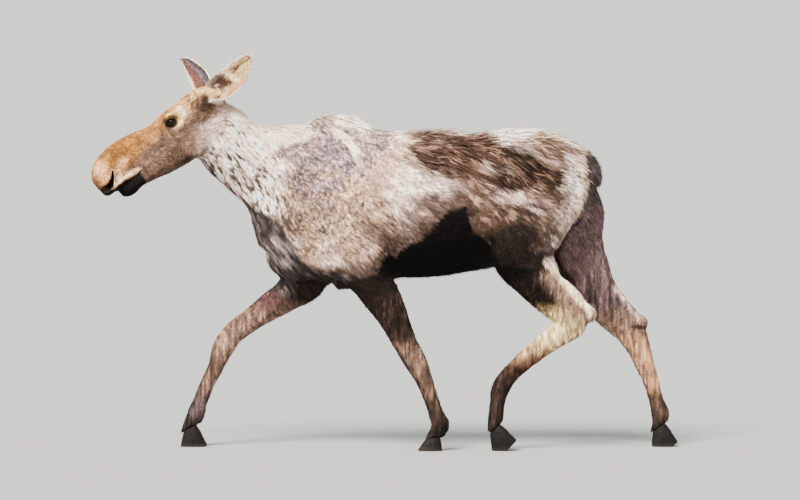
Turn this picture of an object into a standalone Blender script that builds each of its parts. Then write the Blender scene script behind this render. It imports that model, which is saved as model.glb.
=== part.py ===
"""A cow moose in mid stride, life size, for Blender 4.5. Metres, +Z up, facing -Y, its left side on +X.

The flesh is modelled whole, from lofted lengths and muscle masses that a voxel remesh grows together. Thin
blades then part it into the lengths a person would name. Ears, eyes, tail, claws and dew claws are made
apart and fitted to the flesh."""

import math
from collections import namedtuple

import bmesh
import bpy
import numpy as np
from mathutils import Matrix, Vector

# Driving sizes
SEAM = 0.0004  # gap that each blade leaves between two lengths of flesh
FIT = 0.0003  # gap round a piece that is let into the flesh
VOXEL = 0.008  # grain of the remesh that grows the flesh together
SMOOTHING = 8  # passes that round the joins of the masses
BODY_SMOOTHING = 60  # further passes, on the trunk and upper legs alone
FLESH_TRIANGLES = 4380
HEAD_DETAIL = 0.78  # how readily the head gives up triangles beside the trunk, 0 to 1
LEG_DETAIL = 0.92  # the same for the legs below the elbow and stifle

EYE_RADIUS = 0.0235
EAR_LENGTH = 0.275
EAR_WIDTH = 0.125
EAR_THICKNESS = 0.009
CLAW_WIDTH = 0.047
HOOF_TOE = 0.090  # from the middle of the coronet forward to the tip
HOOF_HEEL = 0.036  # and back to the heel
HOOF_HEIGHT = 0.064
DEW_CLAW_LENGTH = 0.050
TAIL_LENGTH = 0.110

# The head is modelled level, nose towards -Y, with its origin between the ears, and then set on the neck.
HEAD_AT = Vector((0.035, -0.845, 1.685))
HEAD_PITCH = math.radians(32.5)
HEAD_YAW = math.radians(14)

# A cross section of a loft: its middle, half its width in X, how far it reaches along the section's own
# up (or, down a leg, backwards) and the other way, and the power of each half's outline, where 2 is an
# ellipse, less is a ridge and more is a box.
Section = namedtuple("Section", "x y z wide plus minus plus_power minus_power")


def section(x, y, z, wide, plus, minus, plus_power=2.0, minus_power=2.0):
    return Section(x, y, z, wide, plus, minus, plus_power, minus_power)


def level(y, top, middle, bottom, wide, plus_power=2.0, minus_power=2.0):
    """A section of a length that runs along Y, told by the heights of its top, widest place and bottom."""
    return section(0, y, middle, wide, top - middle, middle - bottom, plus_power, minus_power)


# Breast to rump
TRUNK = (
    level(-0.600, 1.20, 1.14, 1.07, 0.045),
    level(-0.565, 1.26, 1.12, 0.985, 0.105),
    level(-0.505, 1.34, 1.12, 0.890, 0.155),
    level(-0.420, 1.48, 1.14, 0.828, 0.190),
    level(-0.320, 1.615, 1.17, 0.805, 0.205, 1.7),
    level(-0.220, 1.665, 1.18, 0.795, 0.215, 1.6),
    level(-0.120, 1.640, 1.18, 0.805, 0.225, 1.7),
    level(-0.020, 1.607, 1.18, 0.830, 0.240, 1.8),
    level(0.080, 1.592, 1.18, 0.852, 0.258, 1.9),
    level(0.230, 1.595, 1.18, 0.857, 0.275),
    level(0.380, 1.600, 1.20, 0.880, 0.275),
    level(0.505, 1.600, 1.23, 0.905, 0.255),
    level(0.630, 1.602, 1.28, 0.960, 0.225),
    level(0.780, 1.600, 1.32, 1.040, 0.205),
    level(0.920, 1.552, 1.33, 1.100, 0.175),
    level(1.005, 1.470, 1.32, 1.160, 0.125),
    level(1.058, 1.375, 1.30, 1.210, 0.065),
)

# Behind the jaw to inside the shoulders
NECK = (
    section(0.035, -0.880, 1.610, 0.085, 0.130, 0.150),
    section(0.033, -0.825, 1.585, 0.095, 0.165, 0.165, 2.0, 1.9),
    section(0.026, -0.750, 1.505, 0.095, 0.172, 0.172, 1.9, 1.8),
    section(0.014, -0.650, 1.440, 0.105, 0.198, 0.200, 1.8, 1.8),
    section(0.004, -0.530, 1.385, 0.135, 0.265, 0.270, 1.7, 1.9),
    section(0.000, -0.400, 1.300, 0.170, 0.345, 0.350, 1.6, 2.0),
    section(0.000, -0.260, 1.230, 0.170, 0.370, 0.350, 1.6, 2.0),
)

# Nose to the back of the skull, before the head is set on the neck
SKULL = (
    level(-0.686, 0.020, 0.010, -0.002, 0.020),
    level(-0.681, 0.055, 0.014, -0.034, 0.044, 2.3, 2.3),
    level(-0.663, 0.089, 0.018, -0.058, 0.060, 2.4, 2.5),
    level(-0.623, 0.120, 0.020, -0.067, 0.070, 2.3, 2.8),
    level(-0.570, 0.136, 0.020, -0.060, 0.070, 2.2, 2.8),
    level(-0.517, 0.143, 0.020, -0.055, 0.064, 2.1, 2.6),
    level(-0.469, 0.143, 0.015, -0.070, 0.059, 2.1, 2.3),
    level(-0.422, 0.137, 0.005, -0.118, 0.058, 2.1, 2.0),
    level(-0.357, 0.126, 0.000, -0.140, 0.064, 2.2, 2.0),
    level(-0.298, 0.121, 0.010, -0.153, 0.076, 2.3, 1.9),
    level(-0.248, 0.126, 0.025, -0.158, 0.089, 2.4, 1.8),
    level(-0.208, 0.132, 0.035, -0.158, 0.099, 2.5, 1.8),
    level(-0.148, 0.141, 0.035, -0.160, 0.103, 2.4, 1.8),
    level(-0.075, 0.149, 0.030, -0.160, 0.098, 2.1, 1.9),
    level(0.000, 0.142, 0.010, -0.160, 0.092),
    level(0.057, 0.110, -0.010, -0.140, 0.080),
)

JAW = (
    level(-0.613, -0.070, -0.085, -0.100, 0.022),
    level(-0.596, -0.052, -0.088, -0.122, 0.040, 2.4, 2.2),
    level(-0.556, -0.045, -0.086, -0.130, 0.046, 2.4, 2.2),
    level(-0.513, -0.045, -0.080, -0.118, 0.045, 2.4, 2.2),
    level(-0.460, -0.035, -0.075, -0.121, 0.048, 2.2, 2.0),
    level(-0.402, -0.020, -0.070, -0.130, 0.050),
)

# Each leg runs down from inside the body to the coronet. plus is the back of the leg, minus the front.
LEG_SECTIONS = {
    "left_fore": (
        section(0.130, -0.190, 1.120, 0.085, 0.150, 0.160),
        section(0.140, -0.110, 0.955, 0.083, 0.150, 0.150),
        section(0.142, -0.055, 0.850, 0.070, 0.115, 0.115),
        section(0.140, -0.005, 0.765, 0.058, 0.098, 0.096),
        section(0.136, 0.050, 0.665, 0.049, 0.082, 0.078),
        section(0.132, 0.108, 0.545, 0.042, 0.064, 0.064),
        section(0.130, 0.158, 0.455, 0.045, 0.060, 0.062),
        section(0.129, 0.198, 0.365, 0.036, 0.051, 0.046),
        section(0.128, 0.240, 0.255, 0.030, 0.042, 0.038),
        section(0.128, 0.268, 0.175, 0.034, 0.044, 0.040),
        section(0.128, 0.284, 0.130, 0.039, 0.052, 0.044),
        section(0.128, 0.270, 0.090, 0.038, 0.043, 0.040),
        section(0.128, 0.248, 0.050, 0.042, 0.042, 0.042),
        section(0.128, 0.240, 0.025, 0.042, 0.042, 0.042),
    ),
    "right_fore": (
        section(-0.130, -0.470, 1.120, 0.080, 0.130, 0.130),
        section(-0.140, -0.420, 0.960, 0.080, 0.150, 0.130),
        section(-0.143, -0.400, 0.860, 0.072, 0.130, 0.110),
        section(-0.144, -0.470, 0.780, 0.060, 0.095, 0.085),
        section(-0.145, -0.565, 0.712, 0.052, 0.075, 0.072),
        section(-0.145, -0.665, 0.640, 0.045, 0.062, 0.060),
        section(-0.144, -0.755, 0.570, 0.044, 0.058, 0.059),
        section(-0.143, -0.808, 0.490, 0.044, 0.056, 0.058),
        section(-0.142, -0.842, 0.405, 0.034, 0.043, 0.042),
        section(-0.141, -0.888, 0.310, 0.030, 0.041, 0.040),
        section(-0.141, -0.924, 0.222, 0.031, 0.042, 0.040),
        section(-0.141, -0.950, 0.155, 0.038, 0.052, 0.044),
        section(-0.141, -0.970, 0.105, 0.037, 0.043, 0.040),
        section(-0.141, -0.984, 0.060, 0.041, 0.041, 0.041),
        section(-0.141, -0.990, 0.035, 0.041, 0.041, 0.041),
    ),
    "left_hind": (
        section(0.110, 0.800, 1.360, 0.095, 0.200, 0.200),
        section(0.128, 0.740, 1.200, 0.112, 0.215, 0.220),
        section(0.138, 0.700, 1.060, 0.104, 0.195, 0.200),
        section(0.142, 0.705, 0.960, 0.090, 0.165, 0.165),
        section(0.142, 0.760, 0.860, 0.068, 0.130, 0.120),
        section(0.138, 0.835, 0.770, 0.050, 0.104, 0.098),
        section(0.134, 0.905, 0.700, 0.043, 0.096, 0.085),
        section(0.130, 0.935, 0.640, 0.044, 0.090, 0.074),
        section(0.128, 0.880, 0.585, 0.039, 0.066, 0.062),
        section(0.126, 0.795, 0.523, 0.034, 0.058, 0.055),
        section(0.124, 0.705, 0.448, 0.031, 0.052, 0.050),
        section(0.122, 0.632, 0.380, 0.032, 0.048, 0.046),
        section(0.121, 0.585, 0.312, 0.040, 0.053, 0.046),
        section(0.121, 0.571, 0.245, 0.036, 0.042, 0.040),
        section(0.121, 0.563, 0.170, 0.037, 0.040, 0.040),
        section(0.121, 0.560, 0.110, 0.041, 0.041, 0.041),
        section(0.121, 0.558, 0.090, 0.041, 0.041, 0.041),
    ),
    "right_hind": (
        section(-0.110, 0.860, 1.360, 0.095, 0.205, 0.190),
        section(-0.125, 0.860, 1.200, 0.108, 0.258, 0.210),
        section(-0.135, 0.880, 1.060, 0.100, 0.245, 0.200),
        section(-0.140, 0.930, 0.940, 0.085, 0.212, 0.165),
        section(-0.142, 1.010, 0.830, 0.064, 0.172, 0.120),
        section(-0.143, 1.085, 0.745, 0.050, 0.122, 0.095),
        section(-0.144, 1.160, 0.670, 0.044, 0.108, 0.088),
        section(-0.144, 1.235, 0.595, 0.046, 0.090, 0.078),
        section(-0.144, 1.285, 0.500, 0.040, 0.066, 0.060),
        section(-0.144, 1.322, 0.410, 0.033, 0.052, 0.051),
        section(-0.144, 1.356, 0.310, 0.030, 0.043, 0.041),
        section(-0.144, 1.378, 0.230, 0.031, 0.042, 0.040),
        section(-0.144, 1.396, 0.170, 0.039, 0.052, 0.043),
        section(-0.144, 1.397, 0.120, 0.037, 0.042, 0.040),
        section(-0.144, 1.388, 0.070, 0.041, 0.041, 0.041),
        section(-0.144, 1.384, 0.045, 0.041, 0.041, 0.041),
    ),
}

# The middle of each coronet, how far the foot is tipped onto its toes, and how far the claws splay
FEET = {
    "left_fore": (Vector((0.128, 0.250, 0.064)), math.radians(5), math.radians(7)),
    "right_fore": (Vector((-0.141, -0.975, 0.092)), math.radians(28), math.radians(6)),
    "left_hind": (Vector((0.121, 0.558, 0.106)), math.radians(46), math.radians(4)),
    "right_hind": (Vector((-0.144, 1.392, 0.098)), math.radians(34), math.radians(6)),
}

# Bones and muscles that stand out of the lofts: middle, half sizes, and a turn about X.
MASSES = {
    "withers": ((0, -0.235, 1.600), (0.060, 0.175, 0.078), 0),
    "left_shoulder": ((0.120, -0.330, 1.180), (0.085, 0.160, 0.350), 0.30),
    "left_upper_arm": ((0.145, -0.190, 1.030), (0.080, 0.190, 0.180), 0),
    "left_triceps": ((0.130, -0.095, 1.080), (0.080, 0.150, 0.200), -0.30),
    "right_shoulder": ((-0.120, -0.380, 1.150), (0.085, 0.150, 0.350), 0.35),
    "right_upper_arm": ((-0.130, -0.420, 0.985), (0.085, 0.180, 0.150), 0.30),
    "brisket": ((-0.02, -0.400, 0.975), (0.130, 0.160, 0.130), 0.5),
    "left_hip": ((0.112, 0.630, 1.435), (0.085, 0.150, 0.110), 0),
    "right_hip": ((-0.112, 0.630, 1.435), (0.085, 0.150, 0.110), 0),
    "left_buttock": ((0.085, 0.900, 1.290), (0.085, 0.125, 0.190), 0.25),
    "right_buttock": ((-0.085, 0.925, 1.270), (0.085, 0.130, 0.190), 0.10),
    "left_hock_point": ((0.129, 1.020, 0.692), (0.029, 0.058, 0.040), -0.85),
    "right_hock_point": ((-0.144, 1.297, 0.632), (0.028, 0.048, 0.040), -0.85),
    "left_hamstring": ((0.132, 0.955, 0.770), (0.022, 0.135, 0.036), -0.90),
}

HEAD_MASSES = {
    "poll": ((0, -0.029, 0.115), (0.055, 0.060, 0.035), 0),
    "left_brow": ((0.074, -0.210, 0.103), (0.028, 0.050, 0.024), 0),
    "right_brow": ((-0.074, -0.210, 0.103), (0.028, 0.050, 0.024), 0),
    "left_cheek": ((0.060, -0.156, -0.050), (0.032, 0.115, 0.095), 0),
    "right_cheek": ((-0.060, -0.156, -0.050), (0.032, 0.115, 0.095), 0),
    "left_cheekbone": ((0.058, -0.270, 0.038), (0.022, 0.130, 0.026), 0.10),
    "right_cheekbone": ((-0.058, -0.270, 0.038), (0.022, 0.130, 0.026), 0.10),
    "left_nostril_wing": ((0.050, -0.600, 0.015), (0.022, 0.055, 0.050), 0.6),
    "right_nostril_wing": ((-0.050, -0.600, 0.015), (0.022, 0.055, 0.050), 0.6),
    "left_ear_butt": ((0.066, 0.000, 0.098), (0.034, 0.045, 0.036), 0.3),
    "right_ear_butt": ((-0.066, 0.000, 0.098), (0.034, 0.045, 0.036), 0.3),
}

# In the head's own frame
EYE_MIDDLES = {"eye_left": Vector((0.0775, -0.220, 0.0765)), "eye_right": Vector((-0.0775, -0.220, 0.0765))}
NOSTRILS = (Vector((0.062, -0.645, 0.010)), Vector((-0.062, -0.645, 0.010)))

# Where each ear springs from the head, which way it points, and which way its hollow faces
EARS = {
    "ear_left": (Vector((0.098, -0.826, 1.765)), Vector((0.100, 0.172, 0.190)), Vector((0.70, -0.68, 0.10))),
    "ear_right": (Vector((-0.045, -0.902, 1.768)), Vector((-0.19, -0.115, 0.185)), Vector((0.15, -0.95, 0.05))),
}

# Blades part the flesh: middle, turn about X, half width, half height. A blade with no turn stands upright
# across the body.
BLADES = {
    "behind_head": ((0.030, -0.828, 1.590), -0.56, 0.25, 0.24),
    "neck_foot": ((0, -0.535, 1.400), -0.44, 0.35, 0.38),
    "behind_shoulder": ((0, 0.130, 1.230), 0, 0.40, 0.46),
    "before_haunch": ((0, 0.475, 1.250), 0, 0.40, 0.44),
    "left_elbow": ((0.150, -0.015, 0.770), -1.315, 0.105, 0.160),
    "left_knee": ((0.130, 0.152, 0.460), -1.107, 0.090, 0.100),
    "left_fetlock": ((0.128, 0.277, 0.152), -1.232, 0.070, 0.080),
    "right_elbow": ((-0.150, -0.490, 0.765), 1.210, 0.105, 0.130),
    "right_knee": ((-0.143, -0.806, 0.492), 1.086, 0.090, 0.095),
    "right_fetlock": ((-0.141, -0.940, 0.180), 1.190, 0.070, 0.080),
    "left_stifle": ((0.150, 0.722, 0.885), -1.300, 0.130, 0.190),
    "left_hock": ((0.128, 0.875, 0.582), 0.696, 0.090, 0.110),
    "left_hind_fetlock": ((0.121, 0.610, 0.350), 0.966, 0.070, 0.085),
    "right_stifle": ((-0.150, 0.985, 0.868), -0.900, 0.130, 0.185),
    "right_hock": ((-0.144, 1.268, 0.535), -1.131, 0.090, 0.110),
    "right_hind_fetlock": ((-0.144, 1.386, 0.202), -1.292, 0.070, 0.080),
}

# The same in the head's own frame: across the face before the eyes, and along the mouth to that blade
HEAD_BLADES = {
    "across_face": ((0, -0.335, 0.000), 0, 0.16, 0.220),
    "mouth": ((0, -0.535, -0.058), math.pi / 2 + 0.07, 0.16, 0.206),
}

# A point in the middle of each length that the blades leave; those of the head are in its own frame
LENGTHS = {
    "neck": (0.010, -0.680, 1.480),
    "forequarters": (0, -0.210, 1.220),
    "barrel": (0, 0.300, 1.230),
    "hindquarters": (0, 0.780, 1.200),
    "forearm_left": (0.136, 0.060, 0.620),
    "fore_cannon_left": (0.128, 0.225, 0.290),
    "fore_pastern_left": (0.128, 0.265, 0.100),
    "forearm_right": (-0.145, -0.670, 0.620),
    "fore_cannon_right": (-0.141, -0.880, 0.330),
    "fore_pastern_right": (-0.141, -0.965, 0.120),
    "gaskin_left": (0.138, 0.860, 0.770),
    "hind_cannon_left": (0.124, 0.740, 0.480),
    "hind_pastern_left": (0.121, 0.572, 0.230),
    "gaskin_right": (-0.144, 1.110, 0.720),
    "hind_cannon_right": (-0.144, 1.335, 0.380),
    "hind_pastern_right": (-0.144, 1.395, 0.140),
}
HEAD_LENGTHS = {
    "head": (0, -0.130, -0.010),
    "muzzle": (0, -0.500, 0.050),
    "lower_jaw": (0, -0.480, -0.100),
}

# Mean colour of each length's coat, then of its roughness
COATS = {
    "head": ("head_coat", (0.330, 0.235, 0.150)),
    "muzzle": ("muzzle_coat", (0.380, 0.240, 0.130)),
    "lower_jaw": ("jaw_coat", (0.120, 0.090, 0.070)),
    "neck": ("neck_coat", (0.460, 0.395, 0.340)),
    "forequarters": ("shoulder_coat", (0.270, 0.240, 0.215)),
    "barrel": ("barrel_coat", (0.290, 0.250, 0.215)),
    "hindquarters": ("haunch_coat", (0.200, 0.150, 0.115)),
    "tail": ("tail_coat", (0.080, 0.070, 0.075)),
    "forearm": ("forearm_coat", (0.110, 0.080, 0.062)),
    "fore_cannon": ("fore_cannon_coat", (0.170, 0.130, 0.100)),
    "fore_pastern": ("fore_pastern_coat", (0.075, 0.062, 0.055)),
    "gaskin": ("gaskin_coat", (0.200, 0.155, 0.120)),
    "hind_cannon": ("hind_cannon_coat", (0.270, 0.205, 0.140)),
    "hind_pastern": ("hind_pastern_coat", (0.080, 0.060, 0.045)),
    "ear": ("ear_coat", (0.420, 0.350, 0.270)),
    "eye": ("eyeball", (0.010, 0.007, 0.005)),
    "claw": ("claw_horn", (0.030, 0.027, 0.026)),
    "dew_claw": ("dew_claw_horn", (0.030, 0.027, 0.026)),
}
ROUGHNESS = {"eye": 0.08, "claw": 0.45, "dew_claw": 0.45}


def clear_scene():
    for obj in list(bpy.data.objects):
        bpy.data.objects.remove(obj)


def head_matrix():
    """Sets the level head on the neck: nose down by the pitch, then turned to the left by the yaw."""
    return (
        Matrix.Translation(HEAD_AT)
        @ Matrix.Rotation(HEAD_YAW, 4, "Z")
        @ Matrix.Rotation(HEAD_PITCH, 4, "X")
    )


def smooth_between(rows, steps):
    """The rows with steps in each gap between two, on a Catmull-Rom curve through them all."""
    rows = np.array(rows, float)
    ahead = np.vstack([2 * rows[0] - rows[1], rows, 2 * rows[-1] - rows[-2]])
    made = []
    for i in range(len(rows) - 1):
        a, b, c, d = ahead[i : i + 4]
        for t in np.arange(steps) / steps:
            curve = 2 * b + (c - a) * t + (2 * a - 5 * b + 4 * c - d) * t**2 + (3 * b - a - 3 * c + d) * t**3
            made.append(curve / 2)
    return np.array(made + [rows[-1]])


def skin_over(mesh, rings):
    """Closes a mesh over rings of vertices, from the first ring's cap to the last one's."""
    count = len(rings[0])
    for first, second in zip(rings, rings[1:]):
        for i in range(count):
            j = (i + 1) % count
            mesh.faces.new((first[i], first[j], second[j], second[i]))
    mesh.faces.new(rings[0][::-1])
    mesh.faces.new(rings[-1])
    bmesh.ops.recalc_face_normals(mesh, faces=mesh.faces)


def loft(name, sections, around=28, steps=4):
    """A closed mesh through cross sections, each square to the line through their middles."""
    rows = smooth_between(sections, steps)
    tangents = np.gradient(rows[:, :3], axis=0)
    mesh = bmesh.new()
    rings = []
    for row, tangent in zip(rows, tangents):
        along = Vector(tangent).normalized()
        up = Vector((1, 0, 0)).cross(along).normalized()
        side = along.cross(up)
        wide, plus, minus, plus_power, minus_power = row[3:]
        ring = []
        for i in range(around):
            turn = 2 * math.pi * i / around
            c, s = math.cos(turn), math.sin(turn)
            power = 2 / (plus_power if s > 0 else minus_power)
            reach = plus if s > 0 else minus
            out = math.copysign(abs(c) ** power, c) * wide
            rise = math.copysign(abs(s) ** power, s) * reach
            ring.append(mesh.verts.new(Vector(row[:3]) + side * out + up * rise))
        rings.append(ring)
    skin_over(mesh, rings)
    return object_from(name, mesh)


def mass(name, middle, sizes, turn):
    """An ellipsoid of bone or muscle, leaning about X by turn."""
    mesh = bmesh.new()
    place = Matrix.Translation(middle) @ Matrix.Rotation(turn, 4, "X") @ Matrix.Diagonal((*sizes, 1))
    bmesh.ops.create_uvsphere(mesh, u_segments=24, v_segments=16, radius=1, matrix=place)
    return object_from(name, mesh)


def object_from(name, mesh):
    data = bpy.data.meshes.new(name)
    mesh.to_mesh(data)
    mesh.free()
    obj = bpy.data.objects.new(name, data)
    bpy.context.scene.collection.objects.link(obj)
    return obj


def join(name, objects):
    """One object that holds the meshes of all these, in world space."""
    bpy.context.view_layer.update()
    mesh = bmesh.new()
    for obj in objects:
        data = obj.data
        data.transform(obj.matrix_world)
        mesh.from_mesh(data)
        bpy.data.objects.remove(obj)
    return object_from(name, mesh)


def bake(obj):
    """Replaces the object's mesh by what its modifiers make of it."""
    graph = bpy.context.evaluated_depsgraph_get()
    data = bpy.data.meshes.new_from_object(obj.evaluated_get(graph))
    obj.modifiers.clear()
    obj.data = data
    return obj


def cut(obj, tools):
    """Takes each tool away from the object, and the tools out of the scene."""
    for tool in tools:
        boolean = obj.modifiers.new("cut", "BOOLEAN")
        boolean.operation = "DIFFERENCE"
        boolean.solver = "EXACT"
        boolean.object = tool
    bake(obj)
    for tool in tools:
        bpy.data.objects.remove(tool)
    return obj


def grown(obj, gap):
    """A copy of the object that stands out past it by the gap."""
    mesh = bmesh.new()
    mesh.from_mesh(obj.data)
    mesh.normal_update()
    moved = [vertex.co + vertex.normal * vertex.calc_shell_factor() * gap for vertex in mesh.verts]
    for vertex, place in zip(mesh.verts, moved):
        vertex.co = place
    return object_from("grown", mesh)


def islands(mesh):
    """The faces of a mesh in lists, one for each closed piece."""
    left = set(mesh.faces)
    found = []
    while left:
        front = [left.pop()]
        piece = list(front)
        while front:
            face = front.pop()
            for edge in face.edges:
                for near in edge.link_faces:
                    if near in left:
                        left.remove(near)
                        front.append(near)
                        piece.append(near)
        found.append(piece)
    return found


def pieces(obj):
    """New objects for the closed pieces of a mesh, the largest first. The object itself goes."""
    mesh = bmesh.new()
    mesh.from_mesh(obj.data)
    found = sorted(islands(mesh), key=len, reverse=True)
    made = []
    for faces in found:
        part = bmesh.new()
        corners = {}
        for face in faces:
            for vertex in face.verts:
                if vertex not in corners:
                    corners[vertex] = part.verts.new(vertex.co)
        for face in faces:
            part.faces.new([corners[vertex] for vertex in face.verts])
        made.append(object_from("piece", part))
    mesh.free()
    bpy.data.objects.remove(obj)
    return made


def main_piece(obj, name):
    """Keeps the largest closed piece alone."""
    made = pieces(obj)
    for spare in made[1:]:
        bpy.data.objects.remove(spare)
    made[0].name = name
    return made[0]


def tidy(obj):
    """Plain triangles, with the slivers that the cuts leave taken out."""
    mesh = bmesh.new()
    mesh.from_mesh(obj.data)
    bmesh.ops.dissolve_degenerate(mesh, edges=mesh.edges, dist=0.0001)
    bmesh.ops.triangulate(mesh, faces=mesh.faces)
    bmesh.ops.recalc_face_normals(mesh, faces=mesh.faces)
    mesh.to_mesh(obj.data)
    mesh.free()
    return obj


def whole_flesh():
    head = [loft("skull", SKULL), loft("jaw", JAW)]
    head += [mass(name, *shape) for name, shape in HEAD_MASSES.items()]
    for obj in head:
        obj.matrix_world = head_matrix()
    body = [loft("trunk", TRUNK), loft("neck", NECK)]
    body += [loft(name, rows) for name, rows in LEG_SECTIONS.items()]
    body += [mass(name, *shape) for name, shape in MASSES.items()]
    flesh = join("flesh", head + body)
    remesh = flesh.modifiers.new("grow_together", "REMESH")
    remesh.mode = "VOXEL"
    remesh.voxel_size = VOXEL
    soften = flesh.modifiers.new("soften", "SMOOTH")
    soften.factor = 0.5
    soften.iterations = SMOOTHING
    bake(flesh)
    trunk = flesh.vertex_groups.new(name="trunk")
    give = flesh.vertex_groups.new(name="give")
    for vertex in flesh.data.vertices:
        x, y, z = vertex.co
        below_body = 0.95 - z
        before_body = -0.80 - y + 0.4 * (1.5 - z)
        rest = min(max(max(below_body, before_body) / 0.12, 0), 1)
        trunk.add([vertex.index], 1 - rest, "REPLACE")
        weight = 1 - rest * (1 - (HEAD_DETAIL if z > 1.1 else LEG_DETAIL))
        give.add([vertex.index], weight, "REPLACE")
    soften = flesh.modifiers.new("soften_trunk", "SMOOTH")
    soften.factor = 0.5
    soften.iterations = BODY_SMOOTHING
    soften.vertex_group = "trunk"
    decimate = flesh.modifiers.new("few_faces", "DECIMATE")
    decimate.ratio = FLESH_TRIANGLES / (2 * len(flesh.data.polygons))
    decimate.vertex_group = "give"
    decimate.use_collapse_triangulate = True
    return bake(flesh)


def blade(middle, turn, half_width, half_height):
    """A thin box across the body."""
    mesh = bmesh.new()
    sizes = Matrix.Diagonal((2 * half_width, SEAM, 2 * half_height, 1))
    bmesh.ops.create_cube(mesh, size=1, matrix=Matrix.Rotation(turn, 4, "X") @ sizes)
    obj = object_from("blade", mesh)
    obj.data.transform(Matrix.Translation(middle))
    return obj


def head_blade(middle, turn, half_width, half_height):
    obj = blade(middle, turn, half_width, half_height)
    obj.data.transform(head_matrix())
    return obj


def foot_matrix(leg):
    coronet, tip, splay = FEET[leg]
    return Matrix.Translation(coronet) @ Matrix.Rotation(tip, 4, "X")


def foot_block(leg):
    """What is taken off the flesh below the coronet, where the claws go."""
    mesh = bmesh.new()
    place = Matrix.Translation((0, 0, FIT / 2 - 0.1)) @ Matrix.Diagonal((0.16, 0.26, 0.2, 1))
    bmesh.ops.create_cube(mesh, size=1, matrix=foot_matrix(leg) @ place)
    return object_from("foot_block", mesh)


def claw(name, leg, side):
    """One claw of a cloven hoof. It is straight between the claws, bowed outside and pointed at the toe."""
    levels = (
        (-FIT / 2, 0.034, 0.036, 0.80),
        (-0.35 * HOOF_HEIGHT, 0.037, 0.056, 0.90),
        (-0.75 * HOOF_HEIGHT, 0.038, 0.078, 0.98),
        (-HOOF_HEIGHT, HOOF_HEEL, HOOF_TOE, 1.00),
        (-1.8 * HOOF_HEIGHT, HOOF_HEEL, HOOF_TOE + 0.012, 0.98),
    )
    coronet, tip, splay = FEET[leg]
    mesh = bmesh.new()
    rings = []
    for z, heel, toe, spread in levels:
        ring = []
        for i in range(12):
            turn = 2 * math.pi * i / 12
            c, s = math.cos(turn), math.sin(turn)
            y = heel * s if s > 0 else toe * s
            taper = 1 - 0.62 * max(-s, 0) ** 2.2
            half = CLAW_WIDTH / 2 * spread
            x = half + half * taper * math.copysign(abs(c) ** 0.8, c) * (1 if c > 0 else 0.92)
            ring.append(mesh.verts.new((side * (x * 0.98 + 0.0012), y, z)))
        rings.append(ring)
    skin_over(mesh, rings)
    obj = object_from(name, mesh)
    obj.data.transform(foot_matrix(leg) @ Matrix.Rotation(side * splay, 4, "Z"))
    return level_sole(obj)


def level_sole(obj):
    """Cuts a piece off flat at the floor."""
    mesh = bmesh.new()
    mesh.from_mesh(obj.data)
    faces = mesh.verts[:] + mesh.edges[:] + mesh.faces[:]
    sliced = bmesh.ops.bisect_plane(mesh, geom=faces, plane_co=(0, 0, 0), plane_no=(0, 0, 1), clear_inner=True)
    rim = [item for item in sliced["geom_cut"] if isinstance(item, bmesh.types.BMEdge)]
    bmesh.ops.contextual_create(mesh, geom=rim)
    bmesh.ops.recalc_face_normals(mesh, faces=mesh.faces)
    mesh.to_mesh(obj.data)
    mesh.free()
    return obj


def dew_claw(name, leg, side, flesh):
    """A small blunt cone behind the pastern, cut to lie against the hair there."""
    back = 0.046
    rise = 0.052
    sections = (
        section(side * 0.017, back - 0.022, rise + 0.012, 0.010, 0.010, 0.010),
        section(side * 0.019, back - 0.008, rise + 0.004, 0.013, 0.014, 0.012),
        section(side * 0.022, back + 0.006, rise - 0.014, 0.012, 0.013, 0.011),
        section(side * 0.024, back + 0.010, rise + 0.012 - DEW_CLAW_LENGTH, 0.006, 0.006, 0.006),
    )
    obj = loft("dew", sections, around=8, steps=1)
    obj.data.transform(foot_matrix(leg))
    return main_piece(cut(obj, [grown(flesh, FIT)]), name)


def ear(name, root, way, hollow, flesh):
    """A long leaf, rolled into a tube at its root and open over its length, cut to sit on the head."""
    along = way.normalized()
    inward = (hollow - hollow.dot(along) * along).normalized()
    side = along.cross(inward)
    stations = 8
    across = 6
    mesh = bmesh.new()
    outer, inner = [], []
    for i in range(stations + 1):
        t = i / stations
        reach = -0.030 + t * (EAR_LENGTH + 0.030)
        width = EAR_WIDTH / 2 * (0.36 + 1.05 * math.sin(math.pi * min(t * 0.92, 1)) ** 0.8)
        width *= (1 - t**3.2) ** 0.60 + 0.025
        roll = math.radians(150 - 78 * min(t / 0.45, 1) - 14 * t)
        radius = width / math.sin(min(roll, math.pi / 2))
        bow = 0.020 * math.sin(math.pi * t)
        rows = [], []
        for j in range(across + 1):
            angle = roll * (2 * j / across - 1)
            ease = EAR_THICKNESS / 2 * (1 - 0.75 * t) * (1 - 0.55 * abs(2 * j / across - 1) ** 3)
            for row, rim in zip(rows, (radius + ease, radius - ease)):
                place = root + along * reach - inward * (rim * math.cos(angle) - radius * 0.55 + bow)
                row.append(mesh.verts.new(place + side * rim * math.sin(angle)))
        outer.append(rows[0])
        inner.append(rows[1])
    rings = [first + second[::-1] for first, second in zip(outer, inner)]
    skin_over(mesh, rings)
    obj = object_from("ear", mesh)
    return main_piece(cut(obj, [grown(flesh, FIT)]), name)


def eyeball(name, middle, radius):
    mesh = bmesh.new()
    bmesh.ops.create_uvsphere(mesh, u_segments=14, v_segments=8, radius=radius)
    mesh.transform(head_matrix() @ Matrix.Translation(middle) @ Matrix.Rotation(math.pi / 2, 4, "Y"))
    return object_from(name, mesh)


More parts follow.
